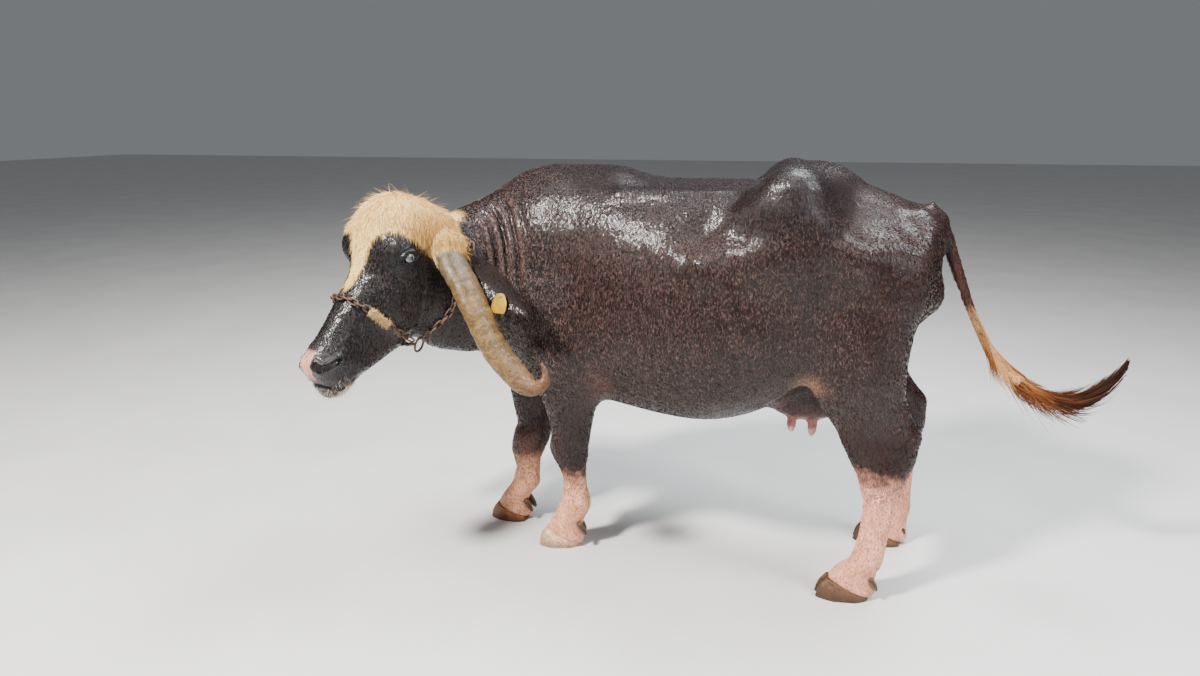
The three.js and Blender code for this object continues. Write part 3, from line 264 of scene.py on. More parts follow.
def along(rows, n):
    rows = np.asarray(rows, float)
    L = np.r_[0, np.cumsum(np.linalg.norm(np.diff(rows[:, :3], axis=0), axis=1))]
    return table(np.c_[L, rows])(np.linspace(0, L[-1], n))


def tangents(q):
    t = np.empty((len(q), 3))
    t[1:-1] = q[2:, :3] - q[:-2, :3]
    t[0], t[-1] = q[1, :3] - q[0, :3], q[-1, :3] - q[-2, :3]
    return unit(t)


class Path:
    def __init__(self, rows, n, blend, up=(0, 0, 1), grow=0):
        self.q = along(rows, n)
        self.q[:, 3:] += grow
        self.T, self.blend, self.up = tangents(self.q), blend, np.array(up, float)
        R = self.q[:, 3:].max(1)
        self.lo, self.hi = (self.q[:, :3] - R[:, None]).min(0), (self.q[:, :3] + R[:, None]).max(0)

    def f(self, p):
        q, n = self.q, len(self.q)
        best, at, tt = np.full(len(p), 1e18), np.zeros(len(p), int), np.zeros(len(p))
        for i in range(n - 1):
            ab = q[i + 1, :3] - q[i, :3]
            ap = p - q[i, :3]
            t = np.clip(ap @ ab / (ab @ ab), 0, 1)
            d = ((ap - t[:, None] * ab) ** 2).sum(1)
            m = d < best
            best[m], at[m], tt[m] = d[m], i, t[m]
        s = q[at] * (1 - tt[:, None]) + q[at + 1] * tt[:, None]
        T = unit(self.T[at] * (1 - tt[:, None]) + self.T[at + 1] * tt[:, None])
        side = unit(np.cross(T, self.up))
        up = np.cross(side, T)
        w = p - s[:, :3]
        end = ((at == 0) & (tt <= 0)) | ((at == n - 2) & (tt >= 1))
        d = ellipse((w * up).sum(1), (w * side).sum(1), s[:, 3], s[:, 4])
        return capped(d, np.where(end, np.abs((w * T).sum(1)), -1000.0), np.minimum(s[:, 3], s[:, 4]) / 2)


LEFT_FORE = [[10, -562, -412, -80, 42], [45, -558, -417, -81, 44], [75, -551, -422, -83, 44], [120, -530, -411, -88, 44], [160, -508, -392, -92, 45], [190, -497, -386, -94, 45], [222, -489, -393, -96, 38], [255, -486, -399, -98, 33], [290, -489, -402, -99, 33], [330, -503, -402, -100, 42], [370, -522, -398, -101, 52], [410, -530, -392, -104, 53], [450, -527, -385, -108, 50], [520, -535, -372, -118, 56], [600, -552, -350, -138, 72], [680, -580, -320, -160, 88], [760, -610, -310, -180, 92], [840, -630, -320, -185, 80]]
RIGHT_FORE = [[10, -810, -672, -78, 42], [45, -807, -678, -77, 44], [75, -801, -684, -74, 44], [120, -774, -668, -68, 44], [160, -745, -636, -66, 45], [200, -733, -634, -70, 40], [235, -728, -632, -72, 33], [265, -738, -630, -75, 34], [310, -746, -612, -78, 45], [365, -735, -594, -84, 53], [410, -722, -585, -90, 50], [450, -733, -578, -98, 52], [520, -752, -560, -112, 62], [600, -770, -530, -135, 76], [680, -780, -490, -160, 88], [760, -770, -450, -180, 90], [840, -740, -430, -185, 80]]
HIND = [[10, 464, 624, -206, 42], [45, 466, 620, -206, 44], [75, 470, 618, -208, 44], [110, 493, 623, -211, 44], [140, 527, 634, -214, 46], [180, 543, 639, -214, 42], [220, 551, 643, -213, 36], [285, 558, 652, -211, 35], [358, 557, 659, -208, 38], [400, 545, 666, -205, 44], [443, 531, 686, -201, 49], [485, 509, 703, -197, 50], [540, 480, 712, -193, 49], [597, 452, 712, -190, 52], [640, 420, 690, -190, 66], [700, 382, 664, -190, 92], [780, 352, 655, -188, 112], [860, 340, 658, -182, 120], [930, 345, 668, -176, 122], [1000, 365, 685, -170, 116], [1080, 400, 698, -160, 104], [1170, 440, 700, -150, 80]]
HIND_BACK = table([[75, 155], [200, 135], [285, 122], [400, 105], [500, 88], [600, 70], [700, 45], [800, 15], [1200, 0]])
TRUNK = [[-690, 1340, 700, 130, 1020, 2.0, 2.0], [-640, 1368, 670, 155, 1020, 2.0, 2.0], [-560, 1400, 640, 190, 1010, 2.0, 2.1], [-460, 1410, 612, 232, 980, 2.0, 2.2], [-360, 1410, 590, 272, 960, 2.1, 2.2], [-280, 1402, 578, 300, 940, 2.2, 2.2], [-200, 1378, 566, 324, 925, 2.3, 2.2], [-100, 1368, 552, 345, 915, 2.4, 2.2], [0, 1368, 546, 355, 910, 2.5, 2.2], [100, 1368, 558, 352, 915, 2.6, 2.2], [200, 1370, 592, 336, 930, 2.6, 2.2], [300, 1380, 650, 305, 960, 2.6, 2.2], [360, 1388, 700, 285, 985, 2.5, 2.2], [430, 1382, 760, 262, 1020, 2.3, 2.2], [500, 1360, 800, 245, 1040, 2.2, 2.2], [600, 1325, 850, 215, 1060, 2.1, 2.2], [680, 1288, 900, 170, 1080, 2.0, 2.1], [738, 1262, 930, 130, 1090, 2.0, 2.0]]
NECK = [[-430, 0, 1010, 270, 150], [-520, 0, 1025, 320, 190], [-610, -10, 1032, 326, 188], [-700, -50, 1026, 294, 160], [-775, -120, 1018, 264, 135], [-838, -195, 1010, 240, 116], [-885, -265, 1008, 204, 95], [-930, -330, 1016, 140, 65]]
FACE = [[150, 15, -250, 122, -110, 2.0, 2.0], [200, 6, -276, 124, -112, 2.0, 2.1], [260, -2, -292, 114, -120, 2.1, 2.1], [330, -6, -298, 94, -118, 2.2, 2.2], [400, -4, -290, 80, -112, 2.3, 2.3], [460, -2, -258, 68, -104, 2.3, 2.3], [520, 0, -222, 64, -92, 2.2, 2.3], [570, 6, -190, 68, -80, 2.2, 2.3], [620, 2, -164, 72, -72, 2.2, 2.4], [655, -18, -146, 64, -68, 2.2, 2.4]]
TAIL = [[690, 0, 1290, 30, 30], [722, 0, 1257, 30, 30], [757, 0, 1201, 26, 26], [793, 0, 1118, 22, 22], [825, 0, 1041, 19, 19], [858, 0, 966, 17, 17], [890, 5, 905, 16, 16], [926, 10, 843, 17, 17], [972, 15, 788, 22, 22], [1038, 20, 730, 27, 27], [1103, 20, 694, 29, 29], [1166, 20, 676, 26, 26], [1225, 20, 680, 21, 21], [1274, 20, 706, 16, 16], [1314, 20, 749, 11, 11], [1344, 20, 801, 5, 5]]
LEFT_HORN = [[-813, -306, 1157, 52, 38], [-768, -354, 1098, 52, 37], [-728, -381, 1051, 52, 37], [-691, -407, 997, 51, 36], [-659, -425, 948, 49, 35], [-623, -441, 888, 49, 34], [-582, -450, 832, 47, 34], [-543, -452, 790, 46, 32], [-510, -451, 758, 42, 30], [-475, -443, 746, 34, 25], [-449, -436, 766, 20, 15], [-448, -430, 794, 12, 10], [-462, -429, 822, 4, 4]]
RIGHT_HORN = [[-1086, -158, 1145, 50, 37], [-1116, -195, 1107, 50, 36], [-1136, -211, 1072, 50, 36], [-1156, -230, 1027, 49, 35], [-1171, -245, 985, 48, 34], [-1187, -260, 933, 48, 33], [-1199, -271, 881, 46, 33], [-1204, -278, 835, 45, 31], [-1192, -289, 795, 41, 29], [-1169, -292, 787, 33, 24], [-1152, -293, 807, 19, 15], [-1146, -287, 829, 12, 10], [-1145, -289, 853, 4, 4]]
TEATS = [[318, -62, 30], [388, -58, 42], [318, 62, 30], [388, 58, 42]]

masses = [Sections(TRUNK, 60, 1, 200), Path(NECK, 28, 90), Leg(LEFT_FORE, 8, 840, 60), Leg(RIGHT_FORE, 8, 840, 60, True), Leg(HIND, 8, 1170, 70), Leg(HIND, 8, 1170, 70, True, HIND_BACK)]
for s in (-1, 1):
    masses += [
        Ball([-555, s * 150, 1120], [235, 105, 72], 70, frame_of([0.3, -s * 0.28, 1], [1, 0, 0])),
        Ball([-680 if s > 0 else -610, s * 165, 930], [105, 85, 120], 80),
        Ball([-590 if s > 0 else -480, s * 185, 860], [120, 80, 170], 80),
        Ball([315, s * 120, 1335], [85, 120, 62], 80),
        Ball([300, s * 212, 1285], [108, 70, 85], 100),
        Ball([276, s * 244, 1334], [48, 32, 38], 55),
        Ball([300, s * 232, 1180], [125, 72, 150], 110),
        Ball([668, s * 112, 1222], [62, 48, 50], 60),
        Ball([515, s * 205, 1120], [140, 75, 130], 80),
    ]
masses += [
    Ball([345, 0, 1352], [110, 120, 62], 80),
    Ball([690, 0, 1250], [70, 42, 34], 50),
    Ball([662, 0, 1090], [78, 52, 150], 60),
    Ball([716, 0, 1016], [50, 34, 60], 36),
    Ball(on_head(166, -22, -96), [46, 44, 44], 34, HM),
    Ball([-655, 0, 760], [100, 110, 150], 90),
    Ball([362, 0, 655], [150, 125, 102], 50),
    Ball(on_head(104, -90, 0), [124, 144, 148], 60, HM),
    Ball(on_head(62, -140, 0), [82, 95, 160], 40, HM),
    Ball(on_head(188, -72, 0), [80, 96, 130], 40, HM),
    Sections(FACE, 28, 50, 60, True),
    Ball(on_head(636, -116, 0), [50, 48, 52], 25, HM),
]
for s in (-1, 1):
    masses += [Ball(on_head(285, -165, s * 78), [125, 100, 42], 40, HM), Ball(on_head(188, -40, s * (118 if s < 0 else 106)), [50, 44, 36], 35, HM), Ball(on_head(96, -160, s * 152), [57, 54, 54], 28, HM)]
for x, y, long in TEATS:
    masses.append(Ball([x, y, 556 - long / 5], [16, 16, long], 14))
hollows = []
for s in (-1, 1):
    hollows += [Ball([88, s * 350, 1244], [170, 100, 92], 60), Ball([500, s * 252, 1330], [120, 56, 46], 80, frame_of([0.92, -s * 0.3, -0.26], [0, 0, 1]))]
FOLDS = [
    ([(268, 248, 1347), (222, 260, 1326), (166, 250, 1281), (109, 257, 1216), (62, 280, 1165), (28, 312, 1122)], 24, 90),
    ([(276, 250, 1340), (282, 282, 1250), (288, 292, 1150)], 22, 120),
    ([(262, 252, 1335), (205, 286, 1235), (172, 302, 1150)], 22, 120),
    ([(284, 262, 1350), (330, 276, 1285), (386, 268, 1200), (474, 270, 1150)], 20, 80),
    ([(-265, 172, 1324), (-71, 178, 1322), (116, 188, 1326), (222, 222, 1338)], 14, 40),
    ([(660, 112, 1264), (672, 142, 1232), (668, 176, 1190), (652, 222, 1120), (650, 222, 1010)], 16, 60),
]
ridges = [Rod([(x, s * y, z) for x, y, z in line], r, k) for line, r, k in FOLDS for s in (-1, 1)]


def base(p):
    out = np.full(len(p), 1000.0)
    for m in masses:
        k = ((p > m.lo - 130) & (p < m.hi + 130)).all(1)
        if k.any():
            out[k] = smin(out[k], m.f(p[k]), m.blend)
    for m in hollows:
        k = ((p > m.lo - 130) & (p < m.hi + 130)).all(1)
        if k.any():
            out[k] = smax(out[k], -m.f(p[k]), m.blend)
    for m in ridges:
        k = ((p > m.lo - 100) & (p < m.hi + 100)).all(1)
        if k.any():
            out[k] = smin(out[k], m.f(p[k]), m.blend)
    return out


def gradient(F, p, e=1.0):
    f = F(p)
    return f, np.stack([F(p + d) - f for d in np.eye(3) * e], 1) / e


def settle(F, p, off=0.0, steps=3, limit=8.0):
    p = np.array(p, float).reshape(-1, 3).copy()
    for _ in range(steps):
        f, g = gradient(F, p)
        s = -((f - off) / np.maximum((g**2).sum(1), 0.05))[:, None] * g
        n = np.linalg.norm(s, axis=1, keepdims=True)
        p += s * np.minimum(1, limit / np.maximum(n, 1e-9))
    return p


# ------------------------------------------------------------------ features that the skin adds
EYE_R = 21.0
eyes = []
for s in (-1, 1):
    c = settle(base, [on_head(198, -52, s * 138)], 3.0, 30, 6)[0]
    n = unit(gradient(base, c[None])[1][0])
    c = c - n * (EYE_R - 7)
    a = on_head(234, -55, s * 100) - on_head(190, -76, s * 101)
    a = unit(a - n * (a @ n))
    b = np.cross(n, a)
    if b[2] < 0:
        b = -b
    eyes.append((s, c, n, a, b))

EARS = {"left": dict(root=np.array([-779.13, -316.0, 1123.79]), tip=np.array([-500.0, -428, 994]), face=np.array([-0.35, -0.80, 0.30]))}
_f = HM @ EARS["left"]["face"]
_r = np.array([-1122.51, -155.15, 1123.79])
EARS["right"] = dict(root=_r, tip=_r + unit([0.15, 0.88, -0.45]) * 285, face=_f[0] * ALONG + _f[1] * OUT - _f[2] * LEFT)
for e in EARS.values():
    e["a"] = unit(e["tip"] - e["root"])
    e["f"] = unit(e["face"] - e["a"] * (e["face"] @ e["a"]))
    e["b"] = np.cross(e["a"], e["f"])
    e["L"] = np.linalg.norm(e["tip"] - e["root"])


def ear_sheet(t, v):
    """half width, height of the middle surface over the ear's plane, and half thickness"""
    t = np.clip(t, 0, 1)
    w = 51 * np.minimum(1, 0.52 + 1.5 * t) * np.maximum(0, 1 - t**2.8) ** 0.72
    mid = -17 * (1 - v * v) * (1 - 0.5 * t) - 9.1 * np.sin(math.pi * t) + 4.0 * np.sign(v) * np.abs(v) ** 3 * np.sin(t * 5.0)
    return w, mid, 3.4 * (1 - 0.62 * v * v) * (1 - 0.45 * t)


def ear_place(e, t, v, side, more=0.0):
    """a point of the ear: t root to tip, v across, side +1 on the hollow face"""
    t, v = np.asarray(t, float), np.asarray(v, float)
    w, mid, h = ear_sheet(t, v)
    thick = 14 * np.clip(1 - t / 0.22, 0, 1) ** 2
    return e["root"] + np.multiply.outer(e["L"] * t, e["a"]) + np.multiply.outer(w * v, e["b"]) + np.multiply.outer(mid + side * (h + thick * (1 - v * v) * (0.3 if side > 0 else 1.0) + more), e["f"]) + np.multiply.outer(-18 * t * t, [0, 0, 1.0])


def ear_mesh(e, nt=44, nv=22):
    ts = np.linspace(-0.03, 0.985, nt)
    vs = np.sin(np.linspace(-1, 1, nv) * math.pi / 2)
    rings = []
    for t in ts:
        tt = np.full(nv, t)
        rings.append(np.concatenate([ear_place(e, tt, vs, 1), ear_place(e, tt, vs[::-1], -1)]))
    return rings


def nose_points(s):
    return np.array([on_head(*q) for q in [(620, -8, s * 36), (623, -22, s * 50), (606, -36, s * 60), (588, -48, s * 62), (574, -56, s * 61)]])


NECK_FOLDS = [
    ([(-764, -175, 1257), (-722, -196, 1208), (-700, -214, 1137), (-686, -232, 1056), (-682, -252, 975), (-700, -262, 900)], 9, 12),
    ([(-745, -146, 1275), (-698, -172, 1226), (-669, -201, 1153), (-650, -234, 1068), (-639, -262, 980), (-650, -270, 900)], 12, 12),
    ([(-723, -107, 1299), (-668, -154, 1248), (-633, -202, 1171), (-617, -235, 1083), (-606, -266, 982), (-616, -264, 878)], 12, 13),
    ([(-700, -72, 1324), (-632, -152, 1272), (-595, -208, 1190), (-578, -235, 1105), (-569, -259, 1016)], 7, 12),
    ([(-800, -215, 1235), (-765, -232, 1170), (-745, -245, 1090), (-740, -258, 1000), (-750, -262, 930)], 6, 12),
]
MOUTH = [(664, -62, 0), (660, -72, 30), (654, -86, 50), (642, -116, 58), (622, -128, 60), (600, -134, 58)]
CREASES = [  # line, depth, width, mirrored
    ([(612, -266, 778), (650, -240, 656), (676, -230, 557)], -5, 18),
    ([(177, -204, 638), (240, -215, 668), (288, -205, 704), (361, -217, 742)], 7, 20),
    ([(-372, -215, 651), (-335, -240, 690), (-310, -260, 740)], -8, 14),
]


def detail(p):
    """height that the skin's own features add, outward"""
    out = np.zeros(len(p))
    hz = np.abs(p[:, 2] - 900)

    def near(pts, r):
        pts = np.asarray(pts, float)
        return ((p > pts.min(0) - r) & (p < pts.max(0) + r)).all(1)

    for line, h, w in NECK_FOLDS:
        k = near(line, 3 * w)
        if k.any():
            d, t = line_distance(p[k], line)
            out[k] += h * (1.1 * np.exp(-((d / w) ** 2)) - 0.5 * np.exp(-(((d - 1.8 * w) / (0.7 * w)) ** 2))) * np.clip(np.minimum(t, 1 - t) * 5 + 0.12, 0, 1)
    for line, h, w in CREASES:
        for sy in (1, -1):
            L = np.array(line, float) * [1, sy, 1]
            if sy < 0 and L[0, 0] > 500:
                L[:, 0] += HIND_BACK(L[:, 2])[:, 0]
            k = near(L, 3 * w)
            if k.any():
                d, t = line_distance(p[k], L)
                out[k] += h * np.exp(-((d / w) ** 2)) * np.clip(np.minimum(t, 1 - t) * 5 + 0.2, 0, 1)
    # ribs, faint, and the loose wrinkled skin on the lower side
    side = step(np.abs(p[:, 1]), 180, 290) * step(p[:, 0], -330, -200) * (1 - step(p[:, 0], 60, 240)) * step(p[:, 2], 620, 760) * (1 - step(p[:, 2], 1080, 1230))
    out += 2.2 * side * np.sin((p[:, 0] + 0.32 * (p[:, 2] - 900)) * (2 * math.pi / 66))
    low = step(np.abs(p[:, 1]), 150, 260) * step(p[:, 0], -320, -240) * (1 - step(p[:, 0], 120, 260)) * (1 - step(p[:, 2], 760, 900))
    out += 0.9 * low * np.sin((p[:, 2] + 0.5 * p[:, 0] + 14 * np.sin(p[:, 0] / 70)) * (2 * math.pi / 24))
    body = step(p[:, 2], 560, 700) * step(p[:, 0], -620, -520)
    out += 1.6 * body * soft_noise(p, 190, 3)
    # vertebrae along the loin
    top = (1 - step(np.abs(p[:, 1]), 14, 46)) * step(p[:, 0], -420, -300) * (1 - step(p[:, 0], 560, 680)) * step(p[:, 2], 1240, 1320)
    out += top * (1.2 + 0.8 * np.sin(p[:, 0] * (2 * math.pi / 58)))
    # slit under the tail
    k = near([(690, 0, 1060), (760, 0, 930)], 60)
    if k.any():
        q = p[k]
        d, t = line_distance(q, [(755, 0, 1050), (768, 0, 1005), (750, 0, 950)])
        out[k] += 7 * np.exp(-((np.hypot(q[:, 1], 0) / 24) ** 2)) * np.exp(-(((q[:, 2] - 1000) / 52) ** 2)) - 12 * np.exp(-((q[:, 1] / 4.5) ** 2)) * np.exp(-(((q[:, 2] - 1000) / 46) ** 4))
    # knees, hocks and tendons
    for cx, cy, cz, h, r in ((-528, -104, 400, 5, 34), (-738, 92, 385, 5, 34), (-400, -104, 372, 4, 22), (-592, 88, 350, 4, 22), (705, -190, 590, 6, 30), (770, 190, 590, 6, 30)):
        k = near([(cx, cy, cz)], 3 * r)
        if k.any():
            out[k] += h * np.exp(-(np.linalg.norm(p[k] - [cx, cy, cz], axis=1) / r) ** 2)
    # head
    k = near(np.array([on_head(u, n, s) for u in (60, 700) for n in (40, -300) for s in (-150, 150)]), 20)
    if k.any():
        q = p[k]
        o = np.zeros(len(q))
        for s in (-1, 1):
            H = lambda pts: [on_head(a, b, s * c) for a, b, c in pts]
            d, t = line_distance(q, H(MOUTH))
            o += -7.5 * np.exp(-((d / 4.2) ** 2)) + 3.2 * np.exp(-(((d - 12) / 7) ** 2))
            d, t = line_distance(q, H([(240, -78, 118), (300, -92, 104), (370, -96, 90), (430, -95, 74)]))
            o += 5.5 * np.exp(-((d / 13) ** 2)) * np.clip(np.minimum(t, 1 - t) * 4 + 0.15, 0, 1)
            d, t = line_distance(q, H([(262, -132, 118), (330, -140, 106), (400, -140, 88)]))
            o += -4 * np.exp(-((d / 18) ** 2)) * np.clip(np.minimum(t, 1 - t) * 4, 0, 1)
            d, t = line_distance(q, H([(214, -28, 118), (240, -33, 104), (262, -38, 92)]))
            o += -4.0 * np.exp(-((d / 4.0) ** 2)) * np.clip((1 - t) * 3, 0, 1)
            d, t = line_distance(q, nose_points(s))
            o += 5.0 * np.exp(-(((d - 15) / 6) ** 2))
            d, t = line_distance(q, H([(560, -95, 66), (590, -108, 66), (620, -104, 66)]))
            o += -2.5 * np.exp(-((d / 9) ** 2))
            d, t = line_distance(q, H([(150, -60, 120), (146, -20, 112), (160, 10, 90)]))
            o += -3.0 * np.exp(-((d / 9) ** 2))
        d, t = line_distance(q, [on_head(596, 14, 0), on_head(640, -8, 0), on_head(660, -40, 0)])
        o += -2.0 * np.exp(-((d / 3.5) ** 2))
        h = in_head(q)
        o += 0.8 * step(h[:, 0], 200, 260) * soft_noise(q, 46, 9)
        out[k] += o
    for s, c, n, a, b in eyes:
        k = near([c], 80)
        if k.any():
            q = p[k] - c
            x, y, z = q @ a, q @ b, q @ n
            y2 = y - 1.5
            rho = np.hypot(x / 30, y2 / 19)
            fade = (1 - step(rho, 1.9, 2.5)) * step(z, -5, 8)
            o = 2.6 * np.exp(-(((rho - 0.92) / 0.17) ** 2)) - 2.2 * np.exp(-(((rho - 1.3) / 0.13) ** 2)) - 0.8 * np.exp(-(((rho - 1.68) / 0.12) ** 2)) + 0.8 * np.exp(-(((rho - 1.5) / 0.12) ** 2))
            o += 3.5 * np.exp(-(((rho - 1.0) / 0.25) ** 2)) * step(y, 2, 14)
            out[k] += o * fade
    return out


tail_flesh = Path(TAIL[:10], 30, 16, grow=-4)
tail_flesh.q[:, 3:] = np.minimum(tail_flesh.q[:, 3:], 26)


def whole(p, fat=0.0, fine=True):
    """the skin's field: masses, tail, lids, nostrils and features"""
    out = base(p)
    k = ((p > tail_flesh.lo - 60) & (p < tail_flesh.hi + 60)).all(1)
    if k.any():
        out[k] = smin(out[k], tail_flesh.f(p[k]), tail_flesh.blend)
    k = p[:, 2] < 120
    if k.any():
        q = p[k]
        o = out[k]
        for name, foot, aim, *_ in FEET:
            m = (np.abs(q[:, 0] - foot[0]) < 160) & (np.abs(q[:, 1] - foot[1]) < 90)
            l = (q[:, 0] - foot[0]) * math.cos(aim) + (q[:, 1] - foot[1]) * math.sin(aim)
            o = np.where(m, smax(o, CORONET - 5 + RISE * l - q[:, 2], 8), o)
        out[k] = o
    if fine:
        for s, c, n, a, b in eyes:
            k = (np.abs(p - c) < 110).all(1)
            if k.any():
                q = p[k] - c
                d = np.linalg.norm(q, axis=1) - (EYE_R + 4.0)
                o = smin(out[k], d, 12)
                x, y, z = q @ a, q @ b, q @ n
                x2 = x - 1
                rad = np.array([20.5, 10.5, 17])
                v = np.stack([x2, y + 0.04 * x2 + 0.006 * x2 * x2 - 1, z - 15], 1)
                k0, k1 = np.linalg.norm(v / rad, axis=1), np.linalg.norm(v / rad**2, axis=1)
                out[k] = smax(o, -(k0 * (k0 - 1) / np.maximum(k1, 1e-9)), 3)
        for s in (-1, 1):
            pts = nose_points(s)
            k = ((p > pts.min(0) - 50) & (p < pts.max(0) + 50)).all(1)
            if k.any():
                d, t = line_distance(p[k], pts)
                out[k] = smax(out[k], -(d - (6.5 + 7.0 * np.sin(math.pi * np.clip(t * 0.8 + 0.12, 0, 1)) ** 1.5)), 6)
        out = out - detail(p)
    return out


# ------------------------------------------------------------------ skin surface
def sparse_grid(F, lo, hi, h, coarse=4, band=1.9):
    lo = np.asarray(lo, float)
    n = np.ceil((np.asarray(hi) - lo) / h / coarse).astype(int) * coarse + 1
    nc = (n - 1) // coarse + 1
    H = h * coarse
    g = np.stack(np.meshgrid(*[lo[d] + np.arange(nc[d]) * H for d in range(3)], indexing="ij"), -1).reshape(-1, 3)
    vc = F(g).reshape(nc)
    near = np.abs(vc) < H * band
    blk = np.zeros(nc - 1, bool)
    for i in (0, 1):
        for j in (0, 1):
            for k in (0, 1):
                blk |= near[i : nc[0] - 1 + i, j : nc[1] - 1 + j, k : nc[2] - 1 + k]
    V = np.full(n, 50.0)
    up = np.repeat(np.repeat(np.repeat(vc[:-1, :-1, :-1], coarse, 0), coarse, 1), coarse, 2)
    V[:-1, :-1, :-1] = np.where(up < 0, -50, 50)
    need = np.zeros(n, bool)
    bi = np.argwhere(blk) * coarse
    r = np.arange(coarse + 1)
    for o in np.stack(np.meshgrid(r, r, r, indexing="ij"), -1).reshape(-1, 3):
        need[tuple((bi + o).T)] = True
    P = np.argwhere(need)
    vals = np.empty(len(P))
    for a in range(0, len(P), 200000):
        vals[a : a + 200000] = F(lo + P[a : a + 200000] * h)
    V[tuple(P.T)] = vals
    return V, lo


def nets(V, org, h):
    ins = V < 0
    nx, ny, nz = V.shape
    c = np.zeros((nx - 1, ny - 1, nz - 1), np.int8)
    for i in (0, 1):
        for j in (0, 1):
            for k in (0, 1):
                c += ins[i : nx - 1 + i, j : ny - 1 + j, k : nz - 1 + k]
    act = (c > 0) & (c < 8)
    ai = np.argwhere(act)
    idx = -np.ones(act.shape, int)
    idx[act] = np.arange(len(ai))
    acc, cnt = np.zeros((len(ai), 3)), np.zeros(len(ai))
    cor = [(0, 0, 0), (1, 0, 0), (0, 1, 0), (1, 1, 0), (0, 0, 1), (1, 0, 1), (0, 1, 1), (1, 1, 1)]
    for a in range(8):
        for b in range(a + 1, 8):
            if sum(abs(np.subtract(cor[a], cor[b]))) != 1:
                continue
            va, vb = V[tuple((ai + cor[a]).T)], V[tuple((ai + cor[b]).T)]
            m = (va < 0) != (vb < 0)
            t = np.where(m, va / np.where(m, va - vb, 1), 0)
            acc[m] += (np.array(cor[a]) + t[:, None] * np.subtract(cor[b], cor[a]))[m]
            cnt[m] += 1
    verts = (ai + acc / cnt[:, None]) * h + org
    quads = []
    for ax in range(3):
        o = [1 if d == ax else 0 for d in range(3)]
        A = ins[tuple(slice(0, s - o[d]) for d, s in enumerate(V.shape))]
        B = ins[tuple(slice(o[d], s) for d, s in enumerate(V.shape))]
        e = np.argwhere(A != B)
        b, c2 = [d for d in range(3) if d != ax]
        e = e[(e[:, b] > 0) & (e[:, c2] > 0) & (e[:, b] < V.shape[b] - 1) & (e[:, c2] < V.shape[c2] - 1)]
        sgn = A[tuple(e.T)]
        db, dc = np.zeros(3, int), np.zeros(3, int)
        db[b], dc[c2] = 1, 1
        q = np.stack([idx[tuple((e - db - dc).T)], idx[tuple((e - dc).T)], idx[tuple(e.T)], idx[tuple((e - db).T)]], 1)
        flip = ~sgn if ax != 1 else sgn
        q[flip] = q[flip][:, ::-1]
        quads.append(q)
    return verts, np.concatenate(quads)


def wanted_edge(p):
    """length of the skin's edges at a point"""
    L = np.full(len(p), 15.0)
    L = np.where(p[:, 2] < 640, 11.0, L)
    neck = (p[:, 0] < -560) & (p[:, 2] > 850)
    L = np.where(neck, 7.0, L)
    h = in_head(p)
    face = (h[:, 0] > 40) & (h[:, 0] < 720) & (h[:, 1] > -300) & (h[:, 1] < 60) & (np.abs(h[:, 2]) < 170)
    L = np.where(face, 6.2, L)
    front = face & (h[:, 0] > 540)
    L = np.where(front, 3.8, L)
    for s, c, n, a, b in eyes:
        d = np.linalg.norm(p - c, axis=1)
        L = np.where(d < 75, np.minimum(L, 4.0), L)
        L = np.where(d < 36, 2.0, L)
    return L


def refine(v, t, times):
    for _ in range(times):
        e = np.sort(np.concatenate([t[:, [0, 1]], t[:, [1, 2]], t[:, [2, 0]]]), axis=1)
        key = e[:, 0].astype(np.int64) * len(v) + e[:, 1]
        u, inv = np.unique(key, return_inverse=True)
        a, b = u // len(v), u % len(v)
        mid = (v[a] + v[b]) / 2
        long = np.linalg.norm(v[a] - v[b], axis=1) > 1.4 * wanted_edge(mid)
        if not long.any():
            break
        new = -np.ones(len(u), int)
        new[long] = len(v) + np.arange(long.sum())
        n = len(t)
        m = np.stack([new[inv[:n]], new[inv[n : 2 * n]], new[inv[2 * n :]]], 1)
        v = np.concatenate([v, mid[long]])
        count = (m >= 0).sum(1)
        out = [t[count == 0]]
        k = count == 3
        A, B, C = t[k].T
        x, y, z = m[k].T
        out += [np.stack(q, 1) for q in ((A, x, z), (x, B, y), (z, y, C), (x, y, z))]
        for r in range(3):
            k = (count == 1) & (m[:, r] >= 0)
            A, B, C = t[k][:, [r, (r + 1) % 3, (r + 2) % 3]].T
            x = m[k][:, r]
            out += [np.stack(q, 1) for q in ((A, x, C), (x, B, C))]
            k = (count == 2) & (m[:, r] < 0)
            A, B, C = t[k][:, [r, (r + 1) % 3, (r + 2) % 3]].T
            y, z = m[k][:, (r + 1) % 3], m[k][:, (r + 2) % 3]
            out += [np.stack(q, 1) for q in ((y, C, z), (A, B, y), (A, y, z))]
        t = np.concatenate(out)
    return v, t


def vertex_normals(v, t):
    n = np.cross(v[t[:, 1]] - v[t[:, 0]], v[t[:, 2]] - v[t[:, 0]])
    out = np.zeros_like(v)
    for i in range(3):
        for d in range(3):
            out[:, d] += np.bincount(t[:, i], n[:, d], len(v))
    return unit(out)


def relax(v, t, amount=0.5):
    e = np.concatenate([t[:, [0, 1]], t[:, [1, 2]], t[:, [2, 0]]])
    e = np.concatenate([e, e[:, ::-1]])
    cnt = np.bincount(e[:, 0], minlength=len(v))
    avg = np.stack([np.bincount(e[:, 0], v[e[:, 1], d], len(v)) for d in range(3)], 1) / np.maximum(cnt, 1)[:, None]
    d = avg - v
    n = vertex_normals(v, t)
    return v + amount * (d - n * (d * n).sum(1, keepdims=True))


